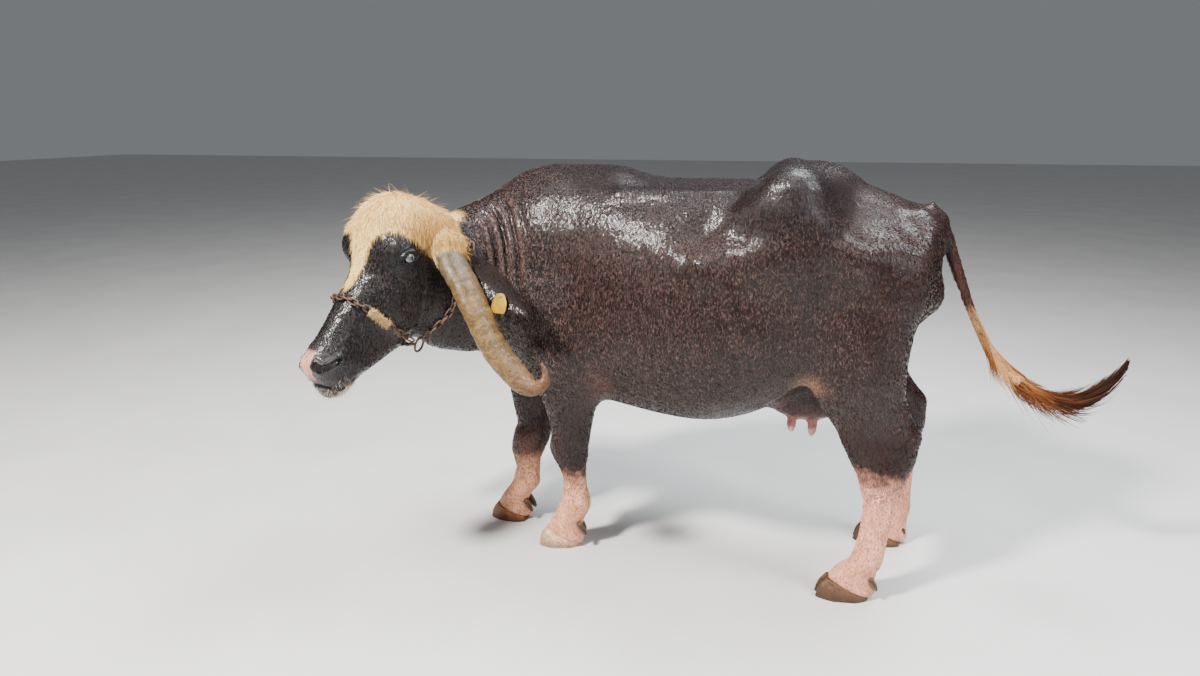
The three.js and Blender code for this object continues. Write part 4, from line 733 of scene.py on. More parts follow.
CELL = 13.0
V, org = sparse_grid(lambda p: whole(p, 0.0, False), (-1330, -800, -10), (1140, 480, 1500), CELL)
sv, quads = nets(V, org, CELL)
d1 = np.linalg.norm(sv[quads[:, 0]] - sv[quads[:, 2]], axis=1) <= np.linalg.norm(sv[quads[:, 1]] - sv[quads[:, 3]], axis=1)
st = np.concatenate([quads[d1][:, [0, 1, 2]], quads[d1][:, [0, 2, 3]], quads[~d1][:, [0, 1, 3]], quads[~d1][:, [1, 2, 3]]])
sv = settle(lambda p: whole(p, 0.0, False), sv, 0, 3, 6)
sv = relax(sv, st, 0.5)
for k in range(3):
    sv, st = refine(sv, st, 1)
    sv = settle(whole if k else (lambda p: whole(p, 0.0, False)), sv, 0, 2, 4)
    sv = relax(sv, st, 0.45)
sv = settle(whole, sv, 0, 3, 3)
used = np.unique(st)
remap = -np.ones(len(sv), int)
remap[used] = np.arange(len(used))
sv, st = sv[used], remap[st]
flesh_count = len(st)
print("skin", len(sv), "points", len(st), "triangles")


# ------------------------------------------------------------------ markings, shared by skin and coat
DARK_BODY, DARK_BACK_SKY_TINT, RUMP, BLACK, LEG, CREAM, TAN, PINK, UDDER, RUST, BROWN = (lin(*c) for c in ((35, 22, 21), (26, 20, 24), (38, 23, 22), (12, 10, 12), (230, 162, 134), (240, 202, 132), (186, 132, 70), (178, 116, 106), (62, 36, 34), (150, 92, 52), (58, 36, 26)))
BLAZE = table([[60, 140], [120, 132], [140, 112], [180, 62], [222, 46], [262, 34], [300, 28], [340, 18], [372, 2], [400, -6]])


def mix(a, b, k):
    return a * (1 - k[:, None]) + b * k[:, None]


def markings(p):
    """base colour, and how much pale speckle (painted glints of wet hair), dark speckle and gloss, at points of the
    skin
    """
    n = len(p)
    wob = soft_noise(p, 60, 1)
    wob2 = soft_noise(p, 22, 11)
    c = np.tile(DARK_BODY, (n, 1))
    # top of the back darker and bluish grey: its own darker tone with a painted bluish reflection of the sky
    c = mix(c, DARK_BACK_SKY_TINT, step(p[:, 2], 1150, 1340) * (1 - step(p[:, 0], 420, 620)))
    c = mix(c, RUMP, step(p[:, 0] + 30 * wob, 300, 620) * 0.8)
    c = mix(c, lin(40, 26, 23), 0.6 * (1 - step(p[:, 2], 600, 760)) * step(p[:, 2], 540, 600))
    c = c * (1 + 0.16 * soft_noise(p, 150, 4))[:, None] * (1 + 0.08 * wob2)[:, None]
    # pale speckle amount: painted glints of light on short wet hair, more on the neck, less on the back, rump and legs
    glint_speck, dark, wet = np.full(n, 0.50), np.zeros(n), np.full(n, 0.78)
    neck = (1 - step(p[:, 0], -560, -380)) * step(p[:, 2], 640, 740)
    c = mix(c, lin(22, 17, 19), 0.75 * neck)
    glint_speck += 0.4 * neck
    back = step(p[:, 2], 1180, 1330)
    glint_speck -= 0.34 * back
    rear = step(p[:, 0], 380, 620)
    glint_speck -= 0.22 * rear
    wet = wet + 0.14 * np.maximum(back, rear)
    # legs and belly underside darker and redder: partly their own tone, partly painted shade under the body
    legs = (1 - step(p[:, 2], 540, 700))
    c = c * np.array([0.90, 0.77, 0.68]) * (1 - legs[:, None] * np.array([0.08, 0.36, 0.50]))
    # pale worn patch where the flank meets the thigh
    worn = np.exp(-((np.linalg.norm((p - [362, 0, 742]) * [1.0, 0, 1.35], axis=1) / 40) ** 2)) * step(np.abs(p[:, 1]), 150, 190)
    c = mix(c, lin(158, 122, 92), 0.8 * worn * (0.45 + 0.55 * step(wob2, -0.5, 0.5)))
    glint_speck -= 0.32 * legs
    # paler brown-pink along the ridges of the neck folds: painted highlight on the fold tops
    for line, high, wide in NECK_FOLDS[:4]:
        m = (np.abs(p - np.mean(line, axis=0)) < [150, 150, 270]).all(1)
        if m.any():
            d, t = line_distance(p[m], line)
            c[m] = mix(c[m], lin(92, 62, 56), 0.42 * np.exp(-((d / 10) ** 2)) * np.clip(np.minimum(t, 1 - t) * 6, 0, 1))
    # legs turn pale below the knee and hock
    hind = step(p[:, 0], 150, 250)
    lift = np.where(hind > 0.5, 432, np.where(p[:, 1] > 0, 285, 292))
    k = 1 - step(p[:, 2] + 26 * wob + 10 * wob2, lift - 55, lift + 45)
    c = mix(c, LEG * np.array([1, 1, 1]) , k)
    c = mix(c, lin(204, 112, 96), 0.55 * k * step(wob2 + 0.4 * wob, 0.1, 0.9))
    c = mix(c, lin(216, 166, 104), 0.6 * k * step(wob - 0.5 * wob2 + 0.5 * (p[:, 0] < -300), 0.4, 1.2))
    dark = np.maximum(dark, 0.7 * k * step(p[:, 2], lift - 150, lift - 10) + 0.08 * k)
    spots = step(soft_noise(p, 34, 15), 1.15, 1.4)
    c = mix(c, lin(70, 50, 50), 0.7 * k * spots)
    # reddish patch on the far knee: partly its own reddish skin, partly painted sunlight on the front of the knee
    knee = np.exp(-(((p[:, 0] + 700) / 60) ** 2) - (((p[:, 2] - 352) / 62) ** 2)) * (p[:, 1] > 0) * (1 - step(p[:, 1], 70, 120))
    c = mix(c, lin(96, 54, 46), 0.7 * knee * (1 - k))
    glint_speck, wet = glint_speck * (1 - k), wet * (1 - 0.45 * k)
    # udder
    ud = np.exp(-(((p[:, 0] - 365) / 165) ** 4)) * (1 - step(np.abs(p[:, 1]), 110, 150)) * (1 - step(p[:, 2], 620, 670)) * step(p[:, 2], 440, 480) * hind
    c = mix(c, UDDER, ud)
    c = mix(c, PINK, 0.85 * ud * (1 - step(p[:, 2] + 8 * wob2, 556, 596)) * step(p[:, 0], 250, 300))
    c = mix(c, lin(206, 158, 150), ud * (1 - step(p[:, 2], 534, 546)))
    glint_speck, wet = glint_speck * (1 - ud), wet * (1 - 0.5 * ud)
    el = np.exp(-(((p[:, 0] + 330) / 45) ** 2)) * np.exp(-(((p[:, 2] - 690) / 60) ** 2)) * step(np.abs(p[:, 1]), 120, 190)
    c = mix(c, lin(92, 52, 44), 0.45 * el)
    # tail
    tl = step(p[:, 0], 770, 800) * step(p[:, 2], 640, 700)
    c = mix(c, lin(92, 50, 38), tl)
    c = mix(c, lin(44, 28, 24), tl * step(p[:, 0] - 0.42 * (1200 - p[:, 2]) + 6 * wob, 748, 772) * 0.8)
    c = mix(c, lin(206, 150, 100), tl * (1 - step(p[:, 2] + 14 * wob, 935, 980)))
    glint_speck = glint_speck * (1 - tl)
    # head
    h = in_head(p)
    head = step(-(p - [-840, -190, 0]) @ np.array([0.42, 0.9, 0.0]), -30, 30) * (h[:, 0] > -60)
    c = mix(c, BLACK * 1.15, head)
    glint_speck = mix(glint_speck[:, None], np.array([0.26]), head)[:, 0]
    c = mix(c, lin(34, 22, 19), 0.5 * head * step(h[:, 0], 180, 300) * step(-h[:, 1], 90, 170))
    nose = head * step(h[:, 0], 520, 600)
    wet = np.maximum(wet, 0.97 * head * step(h[:, 0], 585, 605) * (1 - step(-h[:, 1], 92, 112)))
    c = mix(c, lin(44, 40, 41), nose)
    glint_speck = glint_speck * (1 - 0.6 * nose)
    half = BLAZE(h[:, 0])[:, 0] + 9 * wob2
    blaze = head * (1 - step(np.abs(h[:, 2] + 9), half - 7, half + 7)) * (1 - step(h[:, 0], 355, 380)) * step(h[:, 1], -235, -205)
    crown = head * (1 - step(h[:, 0] + 8 * wob - 44 * step(-h[:, 2], 55, 85), 128, 152)) * step(h[:, 1] + 10 * wob + 0.35 * h[:, 0], -178, -150)
    for s_ in (-1, 1):
        d = np.linalg.norm(h - [96, -160, s_ * 152], axis=1)
        crown = np.maximum(crown, head * (1 - step(d + 5 * wob2, 64, 78)) * step(h[:, 1] + 8 * wob2 + 0.25 * (h[:, 0] - 96), -206, -186) * (1 - step(h[:, 0] + 6 * wob2, 146, 160)))
    cr = np.maximum(blaze, crown)
    c = mix(c, CREAM, cr)
    c = mix(c, TAN, 0.65 * cr * step(np.abs(h[:, 2]) + 10 * wob2, 95, 140))
    glint_speck, dark = glint_speck * (1 - cr), np.maximum(dark, 0.15 * cr)
    # nostril hollows painted near black: painted shade inside the nostrils
    for s_ in (-1, 1):
        d, t = line_distance(p, nose_points(s_))
        c = mix(c, lin(4, 3, 3), head * (1 - step(d, 11, 17)))
        wet = wet * (1 - head * (1 - step(d, 12, 17)))
    pad = head * step(h[:, 0], 574, 590) * (1 - step(h[:, 0], 650, 664)) * (1 - step(np.abs(h[:, 2] + 2 + 3 * wob2), 22, 30)) * step(h[:, 1], -60, -44)
    c = mix(c, lin(196, 140, 128), pad)
    dark = np.maximum(dark, 0.3 * pad)
    lip = head * step(h[:, 0], 605, 650) * (1 - step(h[:, 1] + 6 * wob2, -136, -118))
    c = mix(c, lin(206, 180, 140), 0.85 * lip)
    glint_speck = glint_speck * (1 - np.maximum(pad, lip))
    for s, ec, en, ea, eb in eyes:
        d = np.linalg.norm(p - ec, axis=1)
        c = mix(c, lin(16, 14, 15), 1 - step(d, 27, 40))
        glint_speck = glint_speck * step(d, 30, 60)
        wet = np.where(d < 70, wet * 0.7, wet)
    for e in EARS.values():
        d, t = line_distance(p, [e["root"], e["tip"]])
        k = (1 - step(d, 62, 78)) * step(t, 0.03, 0.12)
        # the lower half of each ear is painted near black: painted shade on the ear's underside
        low = 1 - step((p - e["root"]) @ e["b"] * np.sign(e["b"][2]) + 6 * wob2, 2, 24)
        c = mix(c, lin(17, 14, 16), k)
        c = mix(c, lin(5, 4, 5), 0.95 * k * low)
        wet = mix(wet[:, None], np.array([0.12]), k)[:, 0]
        glint_speck = glint_speck * (1 - 0.8 * k)
    return np.clip(c, 0, 1), np.clip(glint_speck, 0, 1), np.clip(dark, 0, 1), np.clip(wet, 0, 1)


def lie(p, nrm):
    """the way the coat lies, along the surface"""
    d = np.tile(np.array([0.55, 0, -1.0]), (len(p), 1)) + step(p[:, 2], 1180, 1340)[:, None] * np.array([0.9, 0, 0.4])
    neck = (1 - step(p[:, 0], -620, -420))[:, None]
    d = d * (1 - neck) + neck * np.array([0.75, 0.55, -0.5])
    leg = (1 - step(p[:, 2], 560, 760))[:, None]
    d = d * (1 - leg) + leg * np.array([0.12, 0, -1.0])
    tail = step(p[:, 0], 770, 800)[:, None]
    d = d * (1 - tail) + tail * np.array([0.35, 0, -0.9])
    h = in_head(p)
    head = (step(-(p - [-840, -190, 0]) @ np.array([0.42, 0.9, 0.0]), -30, 30) * (h[:, 0] > -80))[:, None]
    fan = ALONG * 1.0 + np.outer(h[:, 2] / 160, LEFT) - OUT * 0.25
    d = d * (1 - head) + head * fan
    for e in EARS.values():
        dd, t = line_distance(p, [e["root"], e["tip"]])
        k = ((1 - step(dd, 62, 78)) * step(t, 0.03, 0.12))[:, None]
        d = d * (1 - k) + k * e["a"]
    d = d - nrm * (d * nrm).sum(1, keepdims=True)
    return unit(d)


def unwrap(p):
    """an unwrap of the body by its parts: angle round each part against the way along it, each part in its own tile"""
    h = in_head(p)
    uv = np.zeros((len(p), 2))
    ang = np.arctan2(p[:, 1], p[:, 2] - 980) / (2 * math.pi) + 0.5
    uv[:, 0], uv[:, 1] = 0.02 + 0.60 * (p[:, 0] + 1000) / 1800, 0.40 + 0.58 * ang
    leg = p[:, 2] < 640
    hind, rt = p[:, 0] > 100, p[:, 1] > 0
    cx = np.where(hind, np.where(rt, 690, 585), np.where(rt, -665, -450))
    cy = np.where(hind, 205, 95) * np.where(rt, 1, -1)
    a2 = np.arctan2(p[:, 1] - cy, p[:, 0] - cx) / (2 * math.pi) + 0.5
    tile = hind * 2 + rt * 1
    uv[leg, 0] = (0.02 + 0.155 * tile + 0.145 * a2)[leg]
    uv[leg, 1] = (0.02 + 0.34 * p[:, 2] / 640)[leg]
    head = (-(p - [-840, -190, 0]) @ np.array([0.42, 0.9, 0.0]) > 0) & (h[:, 0] > -120)
    a3 = np.arctan2(h[:, 2], h[:, 1] + 110) / (2 * math.pi) + 0.5
    uv[head, 0] = (0.65 + 0.33 * a3)[head]
    uv[head, 1] = (0.40 + 0.56 * (h[:, 0] + 120) / 830)[head]
    for i, e in enumerate(EARS.values()):
        d, t = line_distance(p, [e["root"], e["tip"]])
        k = (d < 75) & (t > 0.05)
        q = p - e["root"]
        back = (q @ e["f"] + 12 < 4) * 0.07
        uv[k, 0] = (0.65 + 0.15 * i + back + 0.06 * np.clip((q @ e["b"]) / 110 + 0.5, 0, 1))[k]
        uv[k, 1] = (0.20 + 0.16 * t)[k]
    tail = (p[:, 0] > 765) & (p[:, 2] > 560)
    uv[tail, 0] = (0.66 + 0.30 * (p[:, 0] - 765) / 620)[tail]
    uv[tail, 1] = (0.02 + 0.14 * (np.arctan2(p[:, 1], p[:, 2] - np.interp(p[:, 0], [765, 890, 1038, 1166, 1344], [1190, 905, 730, 676, 800])) / (2 * math.pi) + 0.5))[tail]
    return np.clip(uv, 0.002, 0.995)


# ------------------------------------------------------------------ materials
def material(name):
    m = bpy.data.materials.new(name)
    m.use_nodes = True
    nt = m.node_tree
    return m, nt, nt.nodes["Principled BSDF"]


def node(nt, kind, **kw):
    n = nt.nodes.new("ShaderNode" + kind)
    for k, v in kw.items():
        if k in n.inputs:
            n.inputs[k].default_value = v
        else:
            setattr(n, k, v)
    return n


def noise(nt, scale, detail_=2.0, rough=0.5, distortion=0.0, vec=None):
    n = node(nt, "TexNoise", Scale=scale, Detail=detail_, Roughness=rough, Distortion=distortion)
    if vec is not None:
        nt.links.new(vec, n.inputs["Vector"])
    return n.outputs["Fac"]


def ramp(nt, fac, stops):
    r = node(nt, "ValToRGB")
    el = r.color_ramp.elements
    while len(el) < len(stops):
        el.new(0.5)
    for e, (pos, col) in zip(el, stops):
        e.position = pos
        e.color = (col, col, col, 1) if np.isscalar(col) else (*col, 1)
    nt.links.new(fac, r.inputs["Fac"])
    return r.outputs["Color"]


def maths(nt, op, a, b=None, clamp=False):
    n = node(nt, "Math", operation=op, use_clamp=clamp)
    for i, x in enumerate((a, b)):
        if x is None:
            continue
        if isinstance(x, (int, float)):
            n.inputs[i].default_value = x
        else:
            nt.links.new(x, n.inputs[i])
    return n.outputs[0]


def blend(nt, fac, a, b, kind="MIX"):
    n = node(nt, "Mix", data_type="RGBA", blend_type=kind)
    for sock, x in ((n.inputs[0], fac), (n.inputs[6], a), (n.inputs[7], b)):
        if isinstance(x, (int, float)):
            sock.default_value = x
        elif isinstance(x, (tuple, list, np.ndarray)):
            sock.default_value = (*x, 1) if len(x) == 3 else x
        else:
            nt.links.new(x, sock)
    return n.outputs[2]


def attribute(nt, name):
    return node(nt, "Attribute", attribute_name=name)


def coords(nt):
    return node(nt, "TexCoord").outputs["Object"]


def split(nt, col):
    n = node(nt, "SeparateColor")
    nt.links.new(col, n.inputs[0])
    return n.outputs[0], n.outputs[1], n.outputs[2]


def bump(nt, bsdf, height, strength, distance):
    b = node(nt, "Bump", Strength=strength, Distance=distance)
    nt.links.new(height, b.inputs["Height"])
    nt.links.new(b.outputs[0], bsdf.inputs["Normal"])
    return b


def stretched(nt, x, y, z):
    m_ = node(nt, "Mapping")
    m_.inputs["Scale"].default_value = (x, y, z)
    nt.links.new(coords(nt), m_.inputs["Vector"])
    return m_.outputs[0]


def skin_material():
    m, nt, bsdf = material("hide")
    xyz = coords(nt)
    drawn = stretched(nt, 1.0, 1.0, 0.38)
    col = attribute(nt, "col").outputs["Color"]
    glint_speck, dark, wet = split(nt, attribute(nt, "aux").outputs["Color"])
    fine = noise(nt, 420, 3, 0.65, 0.0, xyz)
    streak = noise(nt, 210, 3, 0.7, 0.3, drawn)
    mid = noise(nt, 34, 3, 0.6, 0.0, drawn)
    # pale specks on the raised streaks, by the pale speckle amount: painted glints of wet hair
    painted_glints = ramp(nt, maths(nt, "ADD", maths(nt, "MULTIPLY", streak, 0.7), maths(nt, "MULTIPLY", fine, 0.3)), [(0.53, 0.0), (0.60, 1.0)])
    c = blend(nt, maths(nt, "MULTIPLY", split(nt, painted_glints)[0], maths(nt, "MULTIPLY", glint_speck, 0.58)), col, lin(134, 104, 92))
    # darker where the streak noise is low, in the hollows of the bump: painted shade between hair clumps
    painted_pit_shade = ramp(nt, streak, [(0.38, 0.30), (0.53, 1.08)])
    c = blend(nt, 0.8, c, painted_pit_shade, "MULTIPLY")
    darkspeck = ramp(nt, noise(nt, 120, 3, 0.7, 0.3, xyz), [(0.50, 0.0), (0.58, 1.0)])
    c = blend(nt, maths(nt, "MULTIPLY", split(nt, darkspeck)[0], dark), c, lin(60, 48, 46))
    c = blend(nt, 1.0, c, ramp(nt, mid, [(0.3, 0.78), (0.7, 1.2)]), "MULTIPLY")
    nt.links.new(c, bsdf.inputs["Base Color"])
    r = maths(nt, "SUBTRACT", 0.72, maths(nt, "MULTIPLY", wet, 0.54))
    r = maths(nt, "ADD", r, maths(nt, "MULTIPLY", maths(nt, "SUBTRACT", streak, 0.5), 0.9), True)
    nt.links.new(r, bsdf.inputs["Roughness"])
    h = maths(nt, "ADD", maths(nt, "MULTIPLY", fine, 0.5), maths(nt, "MULTIPLY", maths(nt, "MULTIPLY", streak, maths(nt, "ADD", glint_speck, 0.25)), 1.3))
    bump(nt, bsdf, h, 0.8, 0.0036)
    film = node(nt, "Bump", Strength=0.5, Distance=0.0036)
    nt.links.new(maths(nt, "ADD", maths(nt, "MULTIPLY", streak, 0.22), maths(nt, "MULTIPLY", noise(nt, 88, 2, 0.55, 0.2, drawn), 1.9)), film.inputs["Height"])
    nt.links.new(film.outputs[0], bsdf.inputs["Coat Normal"])
    bsdf.inputs["Specular IOR Level"].default_value = 0.18
    bsdf.inputs["Coat Weight"].default_value = 0.36
    bsdf.inputs["Coat Roughness"].default_value = 0.12
    bsdf.inputs["Coat IOR"].default_value = 1.38
    return m


def coat_material(name, rough):
    m, nt, bsdf = material(name)
    xyz = coords(nt)
    col = attribute(nt, "col").outputs["Color"]
    shade = ramp(nt, noise(nt, 260, 2, 0.6, 0.0, xyz), [(0.3, 0.72), (0.7, 1.3)])
    c = blend(nt, 1.0, col, shade, "MULTIPLY")
    nt.links.new(c, bsdf.inputs["Base Color"])
    bump(nt, bsdf, noise(nt, 900, 2, 0.5, 0.0, xyz), 0.3, 0.001)
    bsdf.inputs["Roughness"].default_value = rough
    bsdf.inputs["Specular IOR Level"].default_value = 0.06
    return m


def make(name, verts, faces, mat, col=None, aux=None, uv=None, smooth=True, body="root", replaces=()):
    me = bpy.data.meshes.new(name)
    v = world(verts)
    f = np.asarray(faces)
    if f.dtype == object or f.ndim != 2:
        me.from_pydata([tuple(x) for x in v], [], [tuple(int(i) for i in q) for q in faces])
    else:
        k = f.shape[1]
        me.vertices.add(len(v))
        me.vertices.foreach_set("co", v.astype(np.float32).ravel())
        me.loops.add(f.size)
        me.loops.foreach_set("vertex_index", f.astype(np.int32).ravel())
        me.polygons.add(len(f))
        me.polygons.foreach_set("loop_start", np.arange(0, f.size, k, dtype=np.int32))
        me.update(calc_edges=True)
    me.polygons.foreach_set("use_smooth", np.full(len(me.polygons), smooth))
    for label, a in (("col", col), ("aux", aux)):
        if a is not None:
            at = me.color_attributes.new(label, "FLOAT_COLOR", "POINT")
            at.data.foreach_set("color", np.c_[a, np.ones(len(a))].astype(np.float32).ravel())
    if uv is not None:
        layer = me.uv_layers.new(name="OFBake")
        loops = np.empty(len(me.loops), np.int32)
        me.loops.foreach_get("vertex_index", loops)
        layer.data.foreach_set("uv", uv[loops].astype(np.float32).ravel())
    me.validate()
    me.materials.append(mat)
    o = bpy.data.objects.new(name, me)
    bpy.context.scene.collection.objects.link(o)
    if body:
        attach(o, body)
    if replaces:
        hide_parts(*replaces)
    return o


# ------------------------------------------------------------------ skin
FLESH = [n for n in frame["nodes"] if n in ("head", "neck", "trunk", "udder", "tail_root", "tail_middle", "tail_lower") or n.startswith("leg_") or n in ("ear_left", "ear_right")]
def loft(rings, close_ends=True):
    rings = np.asarray(rings)
    n, m = rings.shape[:2]
    v = rings.reshape(-1, 3)
    i, j = np.meshgrid(np.arange(n - 1), np.arange(m), indexing="ij")
    i, j = i.ravel(), j.ravel()
    a, b, c, d = i * m + j, i * m + (j + 1) % m, (i + 1) * m + (j + 1) % m, (i + 1) * m + j
    tri = np.concatenate([np.stack([a, b, c], 1), np.stack([a, c, d], 1)])
    if close_ends:
        v = np.concatenate([v, [rings[0].mean(0)], [rings[-1].mean(0)]])
        j = np.arange(m)
        s, e = np.full(m, n * m), np.full(m, n * m + 1)
        tri = np.concatenate([tri, np.stack([s, (j + 1) % m, j], 1), np.stack([e, (n - 1) * m + j, (n - 1) * m + (j + 1) % m], 1)])
    a, b, c = v[tri[:, 0]] - v[0], v[tri[:, 1]] - v[0], v[tri[:, 2]] - v[0]
    if (a * np.cross(b, c)).sum() < 0:
        tri = tri[:, ::-1]
    return v, tri


ear_parts = []
for e in EARS.values():
    ear_parts.append(loft(ear_mesh(e)))
off = len(sv)
for v, f in ear_parts:
    st = np.concatenate([st, f + off])
    sv = np.concatenate([sv, v])
    off += len(v)
sn = vertex_normals(sv, st)
scol, skin_glint_speck, sdark, swet = markings(sv)
for e in EARS.values():
    d, t = line_distance(sv, [e["root"], e["tip"]])
    facing = (sn @ e["f"] > 0.35) & (d < 80) & (t > 0.03) & (np.arange(len(sv)) >= len(sv) - sum(len(v) for v, _ in ear_parts))
    scol[facing] = scol[facing] * 0.5 + lin(44, 31, 30) * 0.5
skin = make("skin", sv, st, skin_material(), scol, np.c_[skin_glint_speck, sdark, swet], replaces=FLESH)


# ------------------------------------------------------------------ lofted pieces
def ring(c, a, b, ra, rb, m, power=1.0):
    t = np.arange(m) / m * 2 * math.pi
    return c + np.outer(np.sign(np.cos(t)) * np.abs(np.cos(t)) ** power * ra, a) + np.outer(np.sign(np.sin(t)) * np.abs(np.sin(t)) ** power * rb, b)


def joined(parts):
    vs, fs, n = [], [], 0
    for v, f in parts:
        vs.append(v)
        fs.append(np.asarray(f) + n)
        n += len(v)
    return np.concatenate(vs), np.concatenate(fs)


ACROSS = unit(ALONG * 0.6 + OUT * 0.8)


def horn(rows, seed):
    q = along(rows, 90)
    T = tangents(q)
    rings, ts = [], []
    m = 40
    for i in range(len(q)):
        t = i / (len(q) - 1)
        b = unit(ACROSS - T[i] * (ACROSS @ T[i]))
        c = np.cross(T[i], b)
        r = ring(q[i, :3], b, c, q[i, 3], q[i, 4], m, 0.92)
        ph = np.arange(m) / m * 2 * math.pi
        k = 1 + (0.018 * np.sin(t * 95 + 0.8 * np.sin(ph + seed) + seed) + 0.012 * np.sin(t * 41 + 2 * ph) + 0.008 * np.sin(t * 173 + 1.5 * np.sin(2 * ph))) * (1 - step(np.array([t]), 0.55, 0.85)[0])
        k += 0.012 * np.sin(3 * ph + t * 9 + seed)
        rings.append(q[i, :3] + (r - q[i, :3]) * k[:, None] * 0.995)
        ts += [t] * m
    v, f = loft(rings)
    ts = np.array(ts + [0, 1])
    return v, f, ts


def horn_material():
    m, nt, bsdf = material("horn")
    xyz = coords(nt)
    t = split(nt, attribute(nt, "aux").outputs["Color"])[0]
    wob = maths(nt, "ADD", t, maths(nt, "MULTIPLY", maths(nt, "SUBTRACT", noise(nt, 22, 3, 0.6, 0.8, xyz), 0.5), 0.22))
    c = ramp(nt, wob, [(0.0, lin(70, 62, 50)), (0.12, lin(92, 80, 60)), (0.26, lin(110, 84, 50)), (0.45, lin(116, 88, 48)), (0.62, lin(120, 94, 56)), (0.76, lin(124, 92, 64)), (0.88, lin(112, 76, 44)), (1.0, lin(92, 66, 44))])
    bsdf.inputs["Specular IOR Level"].default_value = 0.32
    blot = ramp(nt, noise(nt, 48, 5, 0.75, 1.4, xyz), [(0.40, 0.30), (0.60, 1.12)])
    c = blend(nt, 0.85, c, blot, "MULTIPLY")
    dirt = ramp(nt, noise(nt, 210, 3, 0.75, 0.5, xyz), [(0.52, 0.0), (0.62, 0.7)])
    c = blend(nt, split(nt, dirt)[0], c, lin(62, 48, 32))
    nt.links.new(c, bsdf.inputs["Base Color"])
    r = ramp(nt, noise(nt, 45, 3, 0.6, 0.3, xyz), [(0.3, 0.30), (0.75, 0.58)])
    nt.links.new(r, bsdf.inputs["Roughness"])
    rings_ = maths(nt, "SINE", maths(nt, "ADD", maths(nt, "MULTIPLY", t, 230.0), maths(nt, "MULTIPLY", noise(nt, 30, 2, 0.5, 0.0, xyz), 9.0)))
    h = maths(nt, "ADD", maths(nt, "MULTIPLY", rings_, 0.10), noise(nt, 240, 4, 0.65, 0.6, xyz))
    bump(nt, bsdf, h, 0.5, 0.002)
    return m


HORN = horn_material()
for side, rows, seed in (("left", LEFT_HORN, 0.4), ("right", RIGHT_HORN, 2.1)):
    v, f, t = horn(rows, seed)
    make("horn_" + side + "_look", v, f, HORN, aux=np.c_[t, t, t], replaces=["horn_" + side])

# ------------------------------------------------------------------ eyes
def eye_material():
    m, nt, bsdf = material("eye")
    u, v_, w = split(nt, attribute(nt, "aux").outputs["Color"])
    wob = maths(nt, "MULTIPLY", maths(nt, "SUBTRACT", noise(nt, 500, 3, 0.6, 0.0, coords(nt)), 0.5), 0.10)
    c = ramp(nt, maths(nt, "ADD", u, wob), [(0.0, lin(50, 56, 64)), (0.30, lin(80, 86, 94)), (0.50, lin(112, 112, 112)), (0.60, lin(30, 24, 22)), (0.70, lin(60, 46, 42)), (1.0, lin(50, 34, 32))])
    c = blend(nt, v_, c, lin(14, 14, 20))
    nt.links.new(c, bsdf.inputs["Base Color"])
    bsdf.inputs["Roughness"].default_value = 0.06
    bsdf.inputs["Coat Weight"].default_value = 1.0
    bsdf.inputs["Coat Roughness"].default_value = 0.02
    return m


EYE = eye_material()
for s, c, n, a, b in eyes:
    m_, k_ = 48, 30
    rings = []
    aux = []
    for i in range(1, k_):
        th = math.pi * i / k_
        rr = EYE_R * 0.985
        bulge = 1 + 0.045 * math.exp(-((th / 0.62) ** 2))
        cc = c + n * math.cos(th) * rr * bulge
        rings.append(ring(cc, a, b, math.sin(th) * rr * bulge, math.sin(th) * rr * bulge, m_))
        ph = np.arange(m_) / m_ * 2 * math.pi
        x, y = math.sin(th) * np.cos(ph), math.sin(th) * np.sin(ph)
        rad = np.full(m_, th / 1.5)
        pupil = 1 - step(np.hypot(x / 0.40, y / 0.20), 0.85, 1.05)
        if th > 1.5:
            pupil = np.zeros(m_)
        aux.append(np.c_[rad, pupil, rad])
    v, f = loft(rings)
    aux = np.concatenate(aux + [np.array([[0, 1, 0], [1, 0, 1]])])
    make("eye_" + ("left" if s > 0 else "right") + "_look", v, f, EYE, aux=aux, replaces=["eye_" + ("left" if s > 0 else "right")])

# ------------------------------------------------------------------ claws
def claw_material():
    m, nt, bsdf = material("claw")
    xyz = coords(nt)
    col = attribute(nt, "col").outputs["Color"]
    z = node(nt, "SeparateXYZ")
    nt.links.new(xyz, z.inputs[0])
    bands = maths(nt, "SINE", maths(nt, "ADD", maths(nt, "MULTIPLY", z.outputs[2], 900.0), maths(nt, "MULTIPLY", noise(nt, 40, 2, 0.5, 0.0, xyz), 10.0)))
    c = blend(nt, 0.85, col, ramp(nt, noise(nt, 120, 4, 0.7, 0.8, xyz), [(0.35, 0.45), (0.65, 1.2)]), "MULTIPLY")
    c = blend(nt, 0.35, c, ramp(nt, bands, [(0.0, 0.7), (1.0, 1.1)]), "MULTIPLY")
    nt.links.new(c, bsdf.inputs["Base Color"])
    nt.links.new(ramp(nt, noise(nt, 60, 2, 0.5, 0.0, xyz), [(0.3, 0.35), (0.7, 0.65)]), bsdf.inputs["Roughness"])
    bump(nt, bsdf, maths(nt, "ADD", maths(nt, "MULTIPLY", bands, 0.12), noise(nt, 300, 3, 0.6, 0.3, xyz)), 0.5, 0.0015)
    return m


CLAW = claw_material()
OUTLINE = np.array([[-0.42, 0.1], [-0.44, 0.6], [-0.2, 1.0], [0.22, 0.94], [0.5, 0.45], [0.55, 0.12], [0.35, 0.0], [-0.3, 0.0]])


def smooth_closed(pts, n):
    p = np.concatenate([pts[-2:], pts, pts[:3]])
    m_ = len(pts)
    out = []
    for i in range(n):
        x = i / n * m_
        j, t = int(x) + 2, x - int(x)
        a, b, c, d = p[j - 1], p[j], p[j + 1], p[j + 2]
        cr = 0.5 * ((2 * b) + (c - a) * t + (2 * a - 5 * b + 4 * c - d) * t * t + (3 * b - a - 3 * c + d) * t**3)
        lin_ = b * (1 - t) + c * t
        out.append(cr * 0.55 + lin_ * 0.45)
    return np.array(out)


